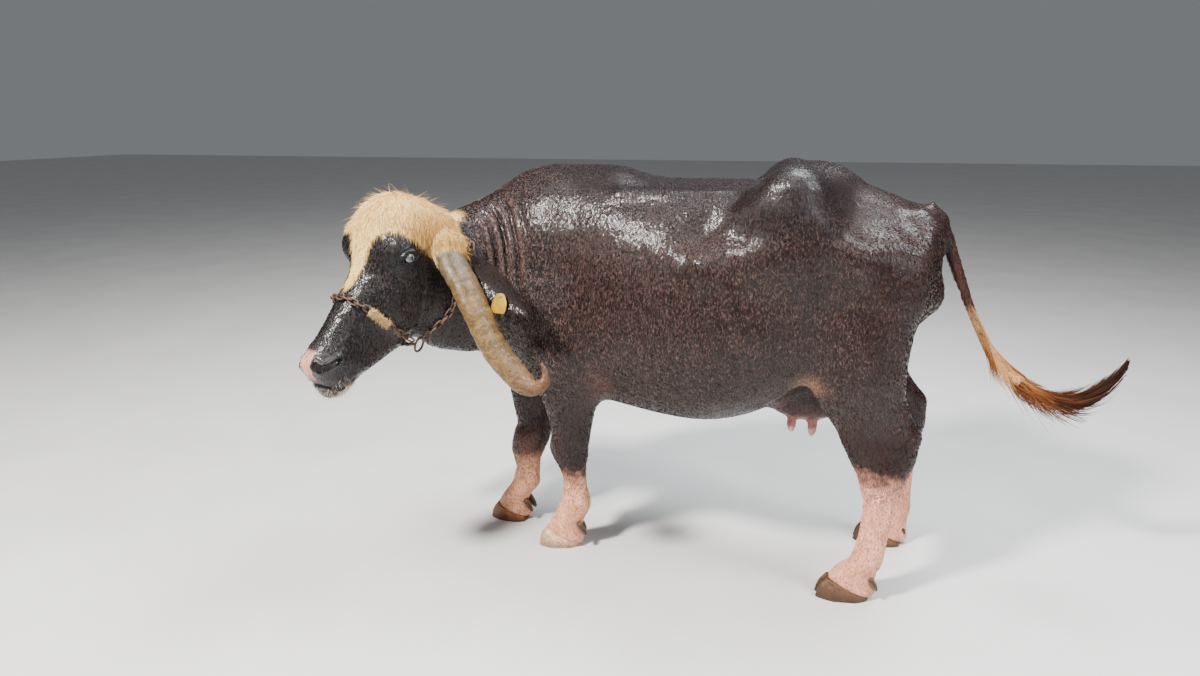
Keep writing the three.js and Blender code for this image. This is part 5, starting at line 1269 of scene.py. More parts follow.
OUT_FINE = smooth_closed(OUTLINE, 40)
for name, foot, aim, length, wide, high, back, colour in FEET:
    a, b = np.array([math.cos(aim), math.sin(aim), 0]), np.array([-math.sin(aim), math.cos(aim), 0])
    lev = table([[0, 1.0, 1.0, 0], [0.45, 0.94, 1.0, -4], [1, 0.76, 0.94, -12]])
    for s in (-1, 1):
        inner = "inner" if (-1 if name.startswith("left") else 1) * s < 0 else "outer"
        rings, cols = [], []
        for z in (0.0, 0.03, 0.08, 0.16, 0.26, 0.38, 0.5, 0.62, 0.74, 0.85, 0.94, 0.985):
            kl, kw, off = lev(np.array([z]))[0]
            if z == 0:
                kl, kw = kl * 0.985, kw * 0.98
            u, w_ = OUT_FINE[:, 0], OUT_FINE[:, 1]
            c_ = s * (2 + w_ * wide * kw + np.maximum(u, 0) * 10)
            l_ = u * length * kl + off
            ripple = 0.5 * math.sin(z * 34 + s)
            rings.append(np.array([foot[0], foot[1], 0]) + np.outer(l_ + ripple * np.sign(u), a) + np.outer(c_, b) + np.outer(z * (CORONET + RISE * l_ - 1), [0, 0, 1]))
            shade = 0.55 + 0.6 * step(np.array([z]), 0.05, 0.9)[0]
            mott = 1 + 0.35 * soft_noise(rings[-1], 26, 2)
            cols.append(np.clip(colour * shade * mott[:, None], 0, 1))
        v, f = loft(rings)
        cols = np.concatenate(cols + [colour[None] * 0.6, colour[None]])
        make("claw_" + name + "_" + inner + "_look", v, f, CLAW, col=cols, replaces=["claw_" + name + "_" + inner])
        r = -a
        top = np.array([back[0], back[1], high - 28.0]) + b * s * 21 + a * 13
        d = unit(r * 0.5 + np.array([0, 0, -0.9]))
        sd = unit(np.cross(d, [0, 0, 1]))
        up = np.cross(sd, d)
        rows = table([[-26, 12, 10], [0, 13, 11], [12, 12, 10.5], [22, 9.5, 8], [29, 6, 5], [32.5, 1.2, 1]])
        rings, cols = [], []
        for x in (-26, -14, -2, 8, 15, 20, 24.5, 28, 31, 32.5):
            ra, rb = rows(np.array([float(x)]))[0]
            rings.append(ring(top + d * x, up, sd, rb, ra, 20))
            stripe = step(np.sin(np.arange(20) / 20 * 2 * math.pi * 3 + 1.0 + 0.05 * x), -0.2, 0.5)[:, None]
            cols.append(lin(122, 84, 54) * stripe + lin(56, 38, 27) * (1 - stripe))
        v, f = loft(rings)
        cols = np.concatenate(cols + [cols[0][:1], cols[-1][:1]])
        make("dewclaw_" + name + "_" + inner + "_look", v, f, CLAW, col=cols, replaces=["dewclaw_" + name + "_" + inner])

# ------------------------------------------------------------------ halter
def metal_material():
    m, nt, bsdf = material("rusty_chain")
    xyz = coords(nt)
    k = ramp(nt, noise(nt, 260, 4, 0.7, 0.5, xyz), [(0.38, 0.0), (0.6, 1.0)])
    k = split(nt, k)[0]
    c = blend(nt, k, lin(104, 64, 44), lin(74, 66, 62))
    c = blend(nt, 0.6, c, ramp(nt, noise(nt, 90, 3, 0.6, 0.0, xyz), [(0.3, 0.6), (0.7, 1.35)]), "MULTIPLY")
    nt.links.new(c, bsdf.inputs["Base Color"])
    nt.links.new(maths(nt, "MULTIPLY", k, 0.75), bsdf.inputs["Metallic"])
    nt.links.new(maths(nt, "SUBTRACT", 0.78, maths(nt, "MULTIPLY", k, 0.35)), bsdf.inputs["Roughness"])
    bump(nt, bsdf, noise(nt, 600, 3, 0.6, 0.3, xyz), 0.5, 0.0008)
    return m


METAL = metal_material()


def catmull(points, n):
    curve_pts = np.asarray(points, float)
    p = np.concatenate([[2 * curve_pts[0] - curve_pts[1]], curve_pts, [2 * curve_pts[-1] - curve_pts[-2]]])
    out = []
    for i in range(len(curve_pts) - 1):
        a, b, c, d = p[i], p[i + 1], p[i + 2], p[i + 3]
        for t in np.linspace(0, 1, 24, endpoint=False):
            out.append(0.5 * ((2 * b) + (c - a) * t + (2 * a - 5 * b + 4 * c - d) * t * t + (3 * b - a - 3 * c + d) * t**3))
    out = np.array(out + [curve_pts[-1]])
    L = np.r_[0, np.cumsum(np.linalg.norm(np.diff(out, axis=0), axis=1))]
    s = np.linspace(0, L[-1], n)
    return np.stack([np.interp(s, L, out[:, d]) for d in range(3)], 1), L[-1]


def torus_path(centre_line, radius, sides):
    """closed tube round a closed line"""
    p = np.asarray(centre_line)
    n = len(p)
    T = unit(np.roll(p, -1, 0) - np.roll(p, 1, 0))
    mid = p.mean(0)
    nrm = unit(np.cross(p[0] - mid, p[n // 4] - mid))
    rings = []
    for i in range(n):
        s = np.cross(T[i], nrm)
        rings.append(ring(p[i], nrm, s, radius, radius, sides))
    v = np.concatenate(rings)
    f = []
    for i in range(n):
        for j in range(sides):
            a, b = i * sides + j, i * sides + (j + 1) % sides
            c, d = ((i + 1) % n) * sides + (j + 1) % sides, ((i + 1) % n) * sides + j
            f += [(a, b, c), (a, c, d)]
    f = np.array(f)
    if (v[f[:, 0]] * np.cross(v[f[:, 1]], v[f[:, 2]])).sum() < 0:
        f = f[:, ::-1]
    return v, f


def links(points, step_len=26.0, half_len=16.5, half_wide=9.0, wire=2.9, roll=0.0):
    n0, L = catmull(points, 400)
    n = max(2, int(round(L / step_len)))
    pos, _ = catmull(points, 2 * n + 1)
    out = []
    for i in range(n):
        c, t = pos[2 * i + 1], unit(pos[2 * i + 2] - pos[2 * i])
        g = unit(gradient(base, c[None])[1][0])
        o = unit(g - t * (g @ t))
        side = np.cross(t, o)
        ang = (math.pi / 2 if i % 2 else 0) + roll + 0.25 * math.sin(i * 2.3)
        w = side * math.cos(ang) + o * math.sin(ang)
        line = []
        for k in range(20):
            ph = k / 20 * 2 * math.pi
            x = math.copysign(half_len - half_wide, math.cos(ph)) + half_wide * math.cos(ph)
            line.append(c + t * (x - 0) * (1 if abs(math.cos(ph)) > 1e-6 else 0) + w * half_wide * math.sin(ph))
        out.append(torus_path(line, wire, 7))
    return joined(out)


def hug(pts, off=11.0):
    return settle(base, np.array(pts), off, 40, 5)


rc = {1: on_head(405, -280, 100), -1: on_head(405, -280, -100)}
R = 24 + 4 + 6


def toward(c, p, d):
    return c + unit(p - c) * d


nose = [(-215, 88), (-165, 92), (-110, 90), (-60, 84), (-18, 60)]
lft = [on_head(400 - (n + 215) * 0.03, n, w) for n, w in nose]
rgt = [on_head(400 - (n + 215) * 0.03, n, -w) for n, w in nose][::-1]
band = hug(lft + [on_head(391, 14, 0)] + rgt)
allp = np.concatenate([[toward(rc[1], band[0], R - 6)], band, [toward(rc[-1], band[-1], R - 6)]])
fine, L = catmull(allp, 400)
W0, W1 = 0.20, 0.325
seg = lambda a, b, n: fine[np.linspace(a * 399, b * 399, n).astype(int)]
v, f = links(seg(0, W0 + 0.01, 9))
make("halter_nose_left_look", v, f, METAL, replaces=["halter_nose_left"])
v, f = links(seg(W1 - 0.01, 1, 24))
make("halter_nose_band_look", v, f, METAL, replaces=["halter_nose_band"])
under = hug([on_head(414, -285, 40), on_head(416, -300, 0), on_head(414, -285, -40)])
v, f = links([toward(rc[1], under[0], R - 6), *under, toward(rc[-1], under[2], R - 6)])
make("halter_chin_look", v, f, METAL, replaces=["halter_chin"])
ups = lambda s: hug([on_head(340, -285, s * 108), on_head(270, -285, s * 125), on_head(205, -275, s * 140), on_head(150, -262, s * 145), on_head(95, -262, s * 130), on_head(50, -262, s * 95)])
Lu, Ru = ups(1), ups(-1)[::-1]
topp = hug([on_head(28, -250, 45), on_head(18, -248, 0), on_head(28, -250, -45)])
v, f = links([toward(rc[1], Lu[0], R - 6), *Lu, *topp, *Ru, toward(rc[-1], Ru[-1], R - 6)])
make("halter_head_look", v, f, METAL, replaces=["halter_head"])
for s, nm in ((1, "left"), (-1, "right")):
    ax = unit(LEFT * s * 0.9 - OUT * 0.35)
    e1 = unit(np.cross(ax, [0, 0, 1]))
    e2 = np.cross(ax, e1)
    line = [rc[s] + e1 * 24 * math.cos(t) + e2 * 24 * math.sin(t) for t in np.arange(48) / 48 * 2 * math.pi]
    v, f = torus_path(line, 3.8, 12)
    make("halter_ring_" + nm + "_look", v, f, METAL, replaces=["halter_ring_" + nm])


def rope_material():
    m, nt, bsdf = material("rope")
    xyz = coords(nt)
    c = ramp(nt, noise(nt, 180, 4, 0.7, 0.6, xyz), [(0.3, lin(120, 92, 58)), (0.5, lin(194, 158, 106)), (0.75, lin(228, 200, 150))])
    nt.links.new(c, bsdf.inputs["Base Color"])
    bsdf.inputs["Roughness"].default_value = 0.9
    bump(nt, bsdf, noise(nt, 500, 3, 0.6, 0.3, xyz), 0.6, 0.001)
    return m


ROPE = rope_material()
w = seg(W0 + 0.004, W1 - 0.004, 60)
Tn = unit(np.gradient(w, axis=0))
g = unit(gradient(base, w)[1])
o = unit(g - Tn * (g * Tn).sum(1, keepdims=True))
sd = np.cross(Tn, o)
parts = []
turns = 9
for start in (0.0, math.pi):
    rings = []
    n = 260
    for i in range(n):
        t = i / (n - 1)
        j = t * (len(w) - 1)
        j0 = min(int(j), len(w) - 2)
        q = j - j0
        c = w[j0] * (1 - q) + w[j0 + 1] * q
        a = start + t * turns * 2 * math.pi
        rad = 8.5 + 1.2 * math.sin(i * 0.31 + start)
        p_ = c + (o[j0] * math.cos(a) * 0.85 + sd[j0] * math.sin(a)) * rad
        dirn = unit(Tn[j0] * 0.25 + (-o[j0] * math.sin(a) + sd[j0] * math.cos(a)))
        e1 = unit(np.cross(dirn, Tn[j0]))
        rings.append(ring(p_, e1, np.cross(dirn, e1), 3.2, 3.2, 7))
    parts.append(loft(rings))
for _ in range(520):  # frayed ends
    t = rng.integers(0, len(w))
    a = rng.uniform(0, 6.28)
    d0 = o[t] * abs(math.cos(a)) + sd[t] * math.sin(a)
    p0 = w[t] + d0 * 9
    dr = unit(d0 * 0.55 + Tn[t] * rng.uniform(-1, 1) + np.array([0, 0, -0.25]) + rng.normal(size=3) * 0.25)
    ln = rng.uniform(6, 16)
    e1 = unit(np.cross(dr, [0.3, 0.5, 0.8]))
    rings = [ring(p0 + dr * ln * x, e1, np.cross(dr, e1), r_, r_, 3) for x, r_ in ((0, 0.5), (0.6, 0.4), (1, 0.12))]
    parts.append(loft(rings))
v, f = joined(parts)
make("halter_rope_look", v, f, ROPE, replaces=["halter_rope_wrap"])


# ------------------------------------------------------------------ ear tag
def tag_material():
    m, nt, bsdf = material("tag")
    xyz = coords(nt)
    c = ramp(nt, noise(nt, 90, 3, 0.6, 0.4, xyz), [(0.3, lin(128, 96, 0)), (0.7, lin(168, 132, 0))])
    dirt = ramp(nt, noise(nt, 200, 4, 0.7, 0.4, xyz), [(0.56, 0.0), (0.68, 0.55)])
    c = blend(nt, split(nt, dirt)[0], c, lin(92, 70, 18))
    nt.links.new(c, bsdf.inputs["Base Color"])
    bsdf.inputs["Roughness"].default_value = 0.42
    bump(nt, bsdf, noise(nt, 400, 2, 0.5, 0.0, xyz), 0.2, 0.0005)
    return m


e = EARS["left"]
tc = ear_place(e, 0.645, 0.30, 1) + e["f"] * 1.0
fv = unit(e["face"])
upt = unit(np.array([0.15, 0.35, 1]) - fv * (np.array([0.15, 0.35, 1]) @ fv))
rt_ = np.cross(upt, fv)
shape = [(-21, -56), (21, -56), (30, -47), (30, -20), (12, 6), (-12, 6), (-30, -20), (-30, -47)]
pts = smooth_closed(np.array(shape, float), 48)
rings = []
for k_, z_ in ((0.97, 9.0), (1.0, 9.4), (1.0, 11.0), (0.97, 11.4)):
    c2 = pts.mean(0)
    pp = c2 + (pts - c2) * k_
    rings.append(np.array([tc + rt_ * x + upt * y + fv * z_ for x, y in pp]))
tagp = [loft(rings)]
rings = [ring(tc + fv * z_, rt_, upt, r_, r_, 18) for z_, r_ in ((-4, 4.6), (8.5, 4.6), (11.5, 6.0), (13.0, 6.5), (14.2, 5.4), (14.6, 3))]
tagp.append(loft(rings))
v, f = joined(tagp)
make("ear_tag_look", v, f, tag_material(), replaces=["ear_tag"])

# ------------------------------------------------------------------ coat
COAT = coat_material("coat", 0.4)
HAIR = coat_material("long_hair", 0.5)
area = np.linalg.norm(np.cross(sv[st[:, 1]] - sv[st[:, 0]], sv[st[:, 2]] - sv[st[:, 0]]), axis=1) / 2


def scatter(n, weight):
    """roots spread over the skin by weight, with their normals"""
    c = sv[st].mean(1)
    wgt = area * weight(c)
    cum = np.cumsum(wgt)
    k = np.searchsorted(cum, (np.arange(n) + rng.uniform(0, 1, n)) / n * cum[-1])
    k = np.clip(k, 0, len(st) - 1)
    a, b = rng.uniform(0, 1, n), rng.uniform(0, 1, n)
    fl = a + b > 1
    a[fl], b[fl] = 1 - a[fl], 1 - b[fl]
    w3 = np.stack([1 - a - b, a, b], 1)[:, :, None]
    return (sv[st[k]] * w3).sum(1), unit((sn[st[k]] * w3).sum(1))


def tufts(name, root, nrm, length, width, rise, colour, spread=0.25):
    """short tufts: each a thin closed wedge of four faces lying along the coat"""
    n = len(root)
    d = lie(root, nrm)
    side = np.cross(nrm, d)
    ang = rng.normal(0, spread, n)[:, None]
    d = unit(d * np.cos(ang) + side * np.sin(ang))
    side = np.cross(nrm, d)
    L, w, r = length[:, None], width[:, None], rise[:, None]
    base_ = root - nrm * 0.8
    v = np.stack([base_ - side * w / 2, base_ + side * w / 2, root + d * L * 0.5 + nrm * (r * 1.0 + 0.5), root + d * L + nrm * r * 0.9], 1).reshape(-1, 3)
    i = np.arange(n)[:, None] * 4
    f = np.concatenate([i + [0, 2, 3], i + [2, 1, 3], i + [0, 1, 2], i + [1, 0, 3]]).reshape(-1, 3)
    uv = unwrap(root)[:, None, :] + np.array([[-0.0012, -0.0015], [0.0012, -0.0015], [0, 0], [0, 0.0015]])[None]
    col = np.repeat(colour, 4, axis=0)
    fade = np.tile(np.array([0.75, 0.75, 1.0, 1.25]), n)[:, None]
    return make(name, v, f, COAT, col=np.clip(col * fade, 0, 1), uv=uv.reshape(-1, 2), smooth=False)


def coat_weight(c):
    h = in_head(c)
    w = np.ones(len(c))
    w = np.where(in_head(c)[:, 0] > 560, np.where(np.abs(h[:, 1] + 150) < 300, 0.25, w), w)
    for s, ec, en, ea, eb in eyes:
        w = np.where(np.linalg.norm(c - ec, axis=1) < 30, 0.0, w)
    w = np.where((c[:, 2] < 600) & (c[:, 0] > 240) & (c[:, 0] < 500) & (np.abs(c[:, 1]) < 120), 0.08, w)
    w = np.where(c[:, 2] < 75, 0.25, w)
    w = np.where(c[:, 2] < 26, 0, w)
    w = w * (1 - 0.7 * step(c[:, 2], 1200, 1330) * (c[:, 0] > -700))
    return w


for part, (n, lmin, lmax) in enumerate(((46000, 9, 17), (46000, 7, 14))):
    root, nrm = scatter(n, (lambda c: coat_weight(c) * np.where(c[:, 0] < -500, 1.5, 1.0)) if part else coat_weight)
    col, glint_speck, dark, wet = markings(root)
    h = in_head(root)
    face = (step(-(root - [-840, -190, 0]) @ np.array([0.42, 0.9, 0.0]), -30, 30) > 0.5) & (h[:, 0] > 60)
    length = rng.uniform(lmin, lmax, n) * np.where(face, 0.7, 1.0)
    width = rng.uniform(1.3, 2.4, n) * np.where(face, 0.8, 1)
    flat = step(root[:, 2], 1200, 1330) * (root[:, 0] > -700)
    rise = rng.uniform(0.2, 1.2, n) * (1 - 0.9 * flat)
    length = length * (1 - 0.3 * flat)
    pick = rng.uniform(0, 1, n)
    colour = col * rng.uniform(0.5, 1.5, n)[:, None]
    # some tufts take a pale colour by the pale speckle amount: painted glints of wet hair
    colour = mix(colour, lin(128, 104, 100), ((pick < 0.22 * glint_speck) * 0.7).astype(float))
    colour = mix(colour, lin(70, 54, 50), ((pick > 1 - 0.5 * dark) * 0.8).astype(float))
    tufts("coat_short_%d" % (part + 1), root, nrm, length, width, rise, colour)


def strands(name, paths, radii, colours, roots, mat=HAIR, sides=3):
    """long hair: each strand a thin closed taper along its path; paths (n, k, 3), radii (n, k), colours (n, k, 3)"""
    n, k, _ = paths.shape
    T = np.gradient(paths, axis=1)
    T = unit(T)
    ref = unit(np.array([0.31, 0.52, 0.79]))
    a = unit(np.cross(T, ref))
    b = np.cross(T, a)
    ph = np.arange(sides) / sides * 2 * math.pi
    v = paths[:, :, None, :] + radii[:, :, None, None] * (a[:, :, None, :] * np.cos(ph)[None, None, :, None] + b[:, :, None, :] * np.sin(ph)[None, None, :, None])
    v = v.reshape(n, k * sides, 3)
    f = []
    for i in range(k - 1):
        for j in range(sides):
            p0, p1 = i * sides + j, i * sides + (j + 1) % sides
            p2, p3 = (i + 1) * sides + (j + 1) % sides, (i + 1) * sides + j
            f += [(p0, p1, p2), (p0, p2, p3)]
    for j in range(1, sides - 1):
        f += [(0, j + 1, j), ((k - 1) * sides, (k - 1) * sides + j, (k - 1) * sides + j + 1)]
    f = np.array(f)
    F = (f[None] + (np.arange(n) * k * sides)[:, None, None]).reshape(-1, 3)
    t = np.linspace(0, 1, k)
    uvr = unwrap(roots)[:, None, None, :] + np.stack([np.broadcast_to((ph / (2 * math.pi) - 0.5) * 0.0028, (k, sides)), np.broadcast_to(((t - 0.5) * 0.0028)[:, None], (k, sides))], -1)[None]
    col = np.repeat(colours, sides, axis=1).reshape(-1, 3)
    return make(name, v.reshape(-1, 3), F, mat, col=np.clip(col, 0, 1), uv=uvr.reshape(-1, 2))


def bent(root, d0, nrm, length, k, droop, curl, stiff=0.5, down=(0, 0, -1)):
    """paths that leave along d0, and give way to gravity and a little curl"""
    n = len(root)
    p = np.empty((n, k, 3))
    p[:, 0] = root
    d = d0.copy()
    ph = rng.uniform(0, 6.28, n)
    side = unit(np.cross(d0, nrm))
    for i in range(1, k):
        t = i / (k - 1)
        d = unit(d + np.array(down) * droop[:, None] / (k - 1) + side * (curl * np.cos(ph + t * 7))[:, None] / (k - 1) + nrm * (curl * 0.5 * np.sin(ph + t * 6))[:, None] / (k - 1))
        p[:, i] = p[:, i - 1] + d * (length / (k - 1))[:, None]
    return p


# crown and forehead hair
def crown_weight(c):
    h = in_head(c)
    half = BLAZE(h[:, 0])[:, 0]
    k = ((np.abs(h[:, 2] + 9) < half + 4) & (h[:, 0] > 100) & (h[:, 0] < 372) & (h[:, 1] > -60)) | ((h[:, 0] < 140) & (h[:, 1] + 0.35 * h[:, 0] > -160) & (h[:, 0] > -60))
    k = k & (-(c - [-840, -190, 0]) @ np.array([0.42, 0.9, 0.0]) > 0)
    return k * np.where(h[:, 0] > 200, 0.8, 1.0)


n = 6800
root, nrm = scatter(n, crown_weight)
h = in_head(root)
top = 1 - step(h[:, 0], 60, 240)
d0 = unit(lie(root, nrm) * 1.0 + nrm * (0.16 + 0.14 * top)[:, None] + rng.normal(0, 0.17, (n, 3)))
length = rng.uniform(16, 30, n) + 18 * top * rng.uniform(0.3, 1, n)
k = 5
p = bent(root - nrm * 1.0, d0, nrm, length, k, 0.35 * np.ones(n), 0.45 * np.ones(n))
rad = np.linspace(1, 0.18, k)[None] * rng.uniform(0.55, 1.0, n)[:, None]
col, _, _, _ = markings(root)
clump = soft_noise(root, 22, 5)
col = col * (rng.uniform(0.6, 1.2, n) * (1 + 0.22 * clump))[:, None]
tip = np.linspace(0.82, 1.15, k)[None, :, None]
strands("coat_crown", p, rad, np.clip(col[:, None, :] * tip, 0, 1), root)

# a few long stray hairs over the crown
n = 420
root, nrm = scatter(n, lambda c: crown_weight(c) * (in_head(c)[:, 0] < 120))
d0 = unit(lie(root, nrm) * 0.7 + nrm * rng.uniform(0.2, 0.9, n)[:, None] + rng.normal(0, 0.3, (n, 3)))
p = bent(root - nrm, d0, nrm, rng.uniform(30, 58, n), 6, 0.5 * np.ones(n), 0.7 * np.ones(n))
rad = np.linspace(1, 0.2, 6)[None] * rng.uniform(0.35, 0.6, n)[:, None]
strands("coat_crown_strays", p, rad, (CREAM * rng.uniform(0.5, 1.1, n)[:, None])[:, None, :] * np.ones((1, 6, 1)), root)

# hair of the collar, lying over the root of each horn
for s_, rows in ((1, LEFT_HORN), (-1, RIGHT_HORN)):
    axis = unit(np.array(rows[1][:3], float) - rows[0][:3])
    centre = on_head(96, -160, s_ * 152)
    ref = unit(np.cross(axis, [0, 0, 1.0]))
    oth = np.cross(axis, ref)
    n = 2200
    ang = rng.uniform(0, 2 * math.pi, n)
    x_ = rng.uniform(-34, 26, n)
    rr = np.sqrt(np.maximum(57**2 - x_**2, 20)) + 2
    out_ = np.cos(ang)[:, None] * ref + np.sin(ang)[:, None] * oth
    root = centre + axis * x_[:, None] + out_ * rr[:, None]
    root = settle(base, root, 0.0, 2, 12)
    keep = markings(root)[0][:, 0] > 0.3
    root, out_, x_ = root[keep], out_[keep], x_[keep]
    n = len(root)
    d0 = unit(axis + out_ * 0.12 + rng.normal(0, 0.2, (n, 3)))
    k = 5
    p = bent(root - out_ * 1.0, d0, out_, rng.uniform(22, 52, n), k, 0.1 * np.ones(n), 0.4 * np.ones(n))
    # the ends close in on the horn
    q_ = p - centre
    along_ = q_ @ axis
    radial = q_ - along_[..., None] * axis
    rl = np.linalg.norm(radial, axis=2, keepdims=True)
    wide_ = unit(ACROSS - axis * (ACROSS @ axis))
    ca, sa = (radial @ wide_)[..., None] / rl, (radial @ np.cross(axis, wide_))[..., None] / rl
    horn_ = 1 / np.sqrt((ca / 52) ** 2 + (sa / 38) ** 2) + 1.2
    reach = step(along_, 14, 46)[..., None]
    limit = (rl * (1 - reach) + reach * np.minimum(rl, horn_ + 5 * rng.uniform(0, 1, (n, 1, 1))))
    p = centre + along_[..., None] * axis + radial * np.maximum(limit, horn_ * (along_[..., None] > 0)) / rl
    rad = np.linspace(1, 0.18, k)[None] * rng.uniform(0.8, 1.5, n)[:, None]
    col = mix(np.tile(CREAM, (n, 1)), TAN, rng.uniform(0, 0.5, n)) * rng.uniform(0.7, 1.2, n)[:, None]
    strands("coat_collar_" + ("left" if s_ > 0 else "right"), p, rad, np.clip(col[:, None, :] * np.linspace(0.85, 1.1, k)[None, :, None], 0, 1), root)

# ear fringe and ear hair
paths, rads, cols, roots_ = [], [], [], []
for nm, e in EARS.items():
    n = 900
    t = rng.uniform(0.02, 0.98, n)
    edge = np.sign(rng.uniform(-1, 1, n))
    vv = edge * rng.uniform(0.75, 1.0, n)
    root = ear_place(e, t, vv, 0)
    d0 = unit(np.outer(np.ones(n), e["a"]) * 0.7 + np.outer(edge, e["b"]) * 0.7 + e["f"] * 0.15 + rng.normal(0, 0.2, (n, 3)))
    p = bent(root, d0, np.tile(e["f"], (n, 1)), rng.uniform(8, 20, n), 5, 0.4 * np.ones(n), 0.3 * np.ones(n))
    paths.append(p)
    rads.append(np.linspace(1, 0.2, 5)[None] * rng.uniform(0.4, 0.7, n)[:, None])
    cols.append((lin(60, 46, 44) * rng.uniform(0.6, 1.7, n)[:, None])[:, None, :] * np.ones((1, 5, 1)))
    roots_.append(root)
strands("coat_ears", np.concatenate(paths), np.concatenate(rads), np.concatenate(cols), np.concatenate(roots_))

# whiskers on chin and lips
def chin_weight(c):
    h = in_head(c)
    return ((h[:, 0] > 605) & (h[:, 1] < -84) & (h[:, 1] > -180)).astype(float)


n = 420
root, nrm = scatter(n, chin_weight)
d0 = unit(nrm * 0.8 + ALONG * 0.5 + rng.normal(0, 0.25, (n, 3)))
p = bent(root, d0, nrm, rng.uniform(5, 22, n) * 0.8, 4, 0.5 * np.ones(n), 0.2 * np.ones(n))
rad = np.linspace(1, 0.2, 4)[None] * rng.uniform(0.3, 0.5, n)[:, None]
col = np.tile(lin(206, 190, 160), (n, 1)) * rng.uniform(0.6, 1.1, n)[:, None]
strands("coat_whiskers", p, rad, col[:, None, :] * np.ones((1, 4, 1)), root)

# tail switch
q = along(TAIL, 200)
T = tangents(q)
Lq = np.r_[0, np.cumsum(np.linalg.norm(np.diff(q[:, :3], axis=0), axis=1))]
n = 2600
k = 13
locks = 120
lock = rng.integers(0, locks, n)
l_start = np.sort(rng.uniform(0.34, 0.80, locks))
l_span = rng.uniform(0.17, 0.30, locks)
l_ang, l_rr = rng.uniform(0, 2 * math.pi, locks), np.sqrt(rng.uniform(0.02, 1, locks))
l_tone = rng.uniform(-0.10, 0.12, locks)
l_out = rng.uniform(0.9, 1.5, locks)
l_hang = np.where(rng.uniform(0, 1, locks) < 0.30, rng.uniform(18, 70, locks), 0) * (l_start < 0.74)
l_lift = np.where((l_start > 0.66) & (rng.uniform(0, 1, locks) < 0.5), rng.uniform(6, 34, locks), 0)
start = np.clip(l_start[lock] + rng.normal(0, 0.012, n), 0.33, 0.83)
span = l_span[lock] * rng.uniform(0.8, 1.08, n)
a0, r0 = rng.uniform(0, 2 * math.pi, n), np.sqrt(rng.uniform(0, 1, n))
paths = np.empty((n, k, 3))
u = np.linspace(0, 1, k)
for i in range(k):
    x = np.clip(start + span * u[i], 0, 1.0)
    j = np.clip((x * 199).astype(int), 0, 198)
    fr = (x * 199 - j)[:, None]
    c = q[j, :3] * (1 - fr) + q[j + 1, :3] * fr
    t_ = unit(T[j] * (1 - fr) + T[j + 1] * fr)
    side = np.tile([0.0, 1.0, 0.0], (n, 1))
    upq = np.cross(t_, side)
    here = q[j, 3] * (1 - fr[:, 0]) + q[j + 1, 3] * fr[:, 0]
    late = start > 0.5
    grow = np.where(late, 0.25, 0.7) + np.where(late, 0.75, 0.3) * u[i]
    wave = l_ang[lock] + 0.45 * np.sin(3.2 * u[i] + l_ang[lock] * 3)
    far = here * l_rr[lock] * grow * (0.9 + (l_out[lock] - 0.9) * u[i] ** 1.5)
    own = here * np.where(late, 0.14, 0.30) * r0 * (1 - 0.7 * u[i])
    off = (np.cos(wave) * far + np.cos(a0) * own)[:, None] * side + (np.sin(wave) * far + np.sin(a0) * own)[:, None] * upq
    paths[:, i] = c + off
paths[:, :, 2] += (l_lift - l_hang)[lock][:, None] * u[None] ** 1.8 * rng.uniform(0.8, 1.1, n)[:, None]
paths[:, :, 0] += (0.25 * l_hang)[lock][:, None] * np.sin(math.pi * u)[None]
stray = rng.uniform(0, 1, n) < 0.06
paths[:, :, 2] -= (stray * rng.uniform(6, 46, n))[:, None] * u[None] ** 1.4
where = start[:, None] + span[:, None] * u[None] + l_tone[lock][:, None]
keys = table([[0.3, *lin(206, 156, 106)], [0.48, *lin(210, 160, 108)], [0.58, *lin(176, 116, 70)], [0.68, *lin(122, 72, 42)], [0.80, *lin(88, 52, 34)], [0.93, *lin(56, 34, 26)], [1.05, *lin(42, 27, 22)]])
col = keys(where.ravel()).reshape(n, k, 3) * (rng.uniform(0.75, 1.25, n) * rng.uniform(0.7, 1.35, locks)[lock])[:, None, None]
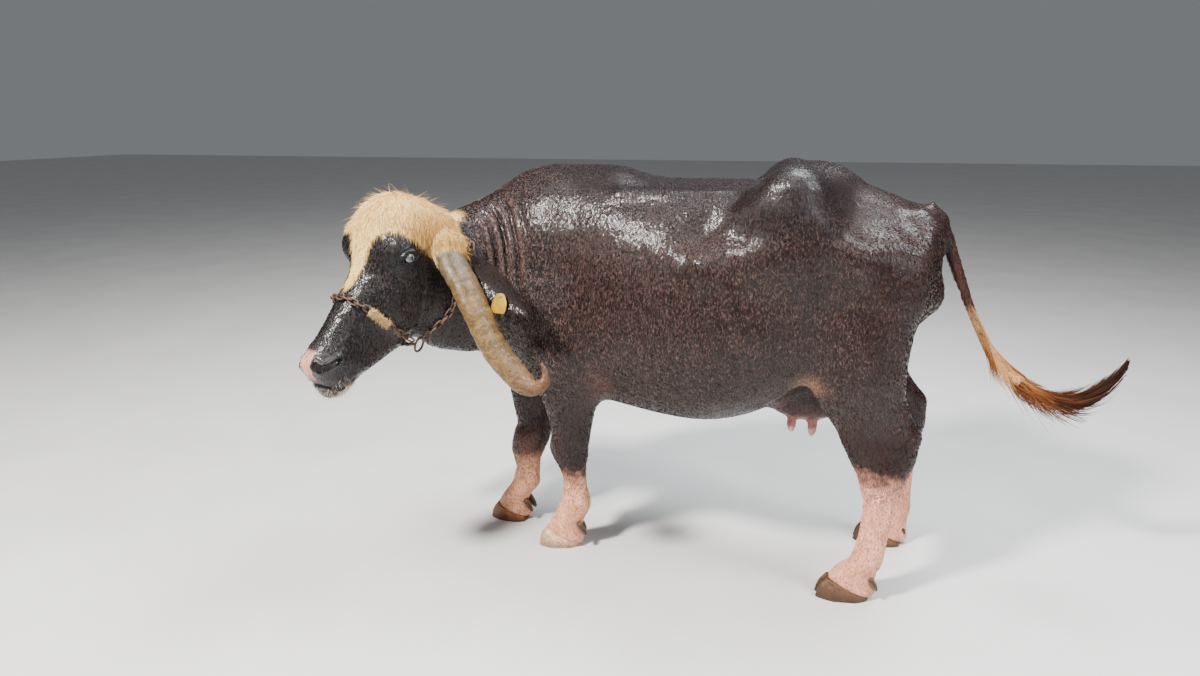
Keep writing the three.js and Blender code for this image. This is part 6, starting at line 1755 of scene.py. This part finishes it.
rad = (np.sin(np.linspace(0.35, math.pi * 0.97, k)) ** 0.6)[None] * rng.uniform(0.5, 1.1, n)[:, None] + 0.12
roots_ = paths[:, 0]
strands("tail_switch_hair", paths, rad, np.clip(col, 0, 1), roots_).name
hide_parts("tail_switch_upper", "tail_switch_tip")

# ------------------------------------------------------------------ floor and light
def floor_material():
    m, nt, bsdf = material("floor")
    c = ramp(nt, noise(nt, 2.0, 2, 0.5, 0.0, coords(nt)), [(0.3, lin(206, 205, 203)), (0.7, lin(214, 213, 211))])
    nt.links.new(c, bsdf.inputs["Base Color"])
    bsdf.inputs["Roughness"].default_value = 0.85
    return m


me = bpy.data.meshes.new("floor")
me.from_pydata([(-30, -30, 0), (30, -30, 0), (30, 30, 0), (-30, 30, 0)], [], [(0, 1, 2, 3)])
me.materials.append(floor_material())
floor = bpy.data.objects.new("floor", me)
bpy.context.scene.collection.objects.link(floor)

w = bpy.data.worlds.new("studio")
bpy.context.scene.world = w
w.use_nodes = True
w.node_tree.nodes["Background"].inputs[0].default_value = (0.90, 0.94, 1.0, 1)
w.node_tree.nodes["Background"].inputs[1].default_value = 0.2


def area_light(name, place, aim, size, power, colour=(1, 1, 1)):
    l = bpy.data.lights.new(name, "AREA")
    l.shape, l.size, l.energy, l.color = "DISK", size, power, colour
    o = bpy.data.objects.new(name, l)
    o.location = place
    o.rotation_euler = (Vector(aim) - Vector(place)).to_track_quat("-Z", "Y").to_euler()
    bpy.context.scene.collection.objects.link(o)


area_light("key", (-2.6, -3.0, 4.6), (-0.1, 0, 0.9), 0.7, 900, (1.0, 0.97, 0.93))
area_light("top", (0.9, 0.9, 4.6), (0.1, 0, 0.9), 1.8, 300, (0.92, 0.96, 1.0))
area_light("rim", (3.0, -0.9, 3.9), (0.3, 0, 1.1), 1.2, 170, (0.95, 0.97, 1.0))
area_light("fill", (3.8, -3.4, 2.4), (0.2, 0, 0.8), 2.2, 110, (0.97, 0.98, 1.0))

bpy.context.view_layer.update()
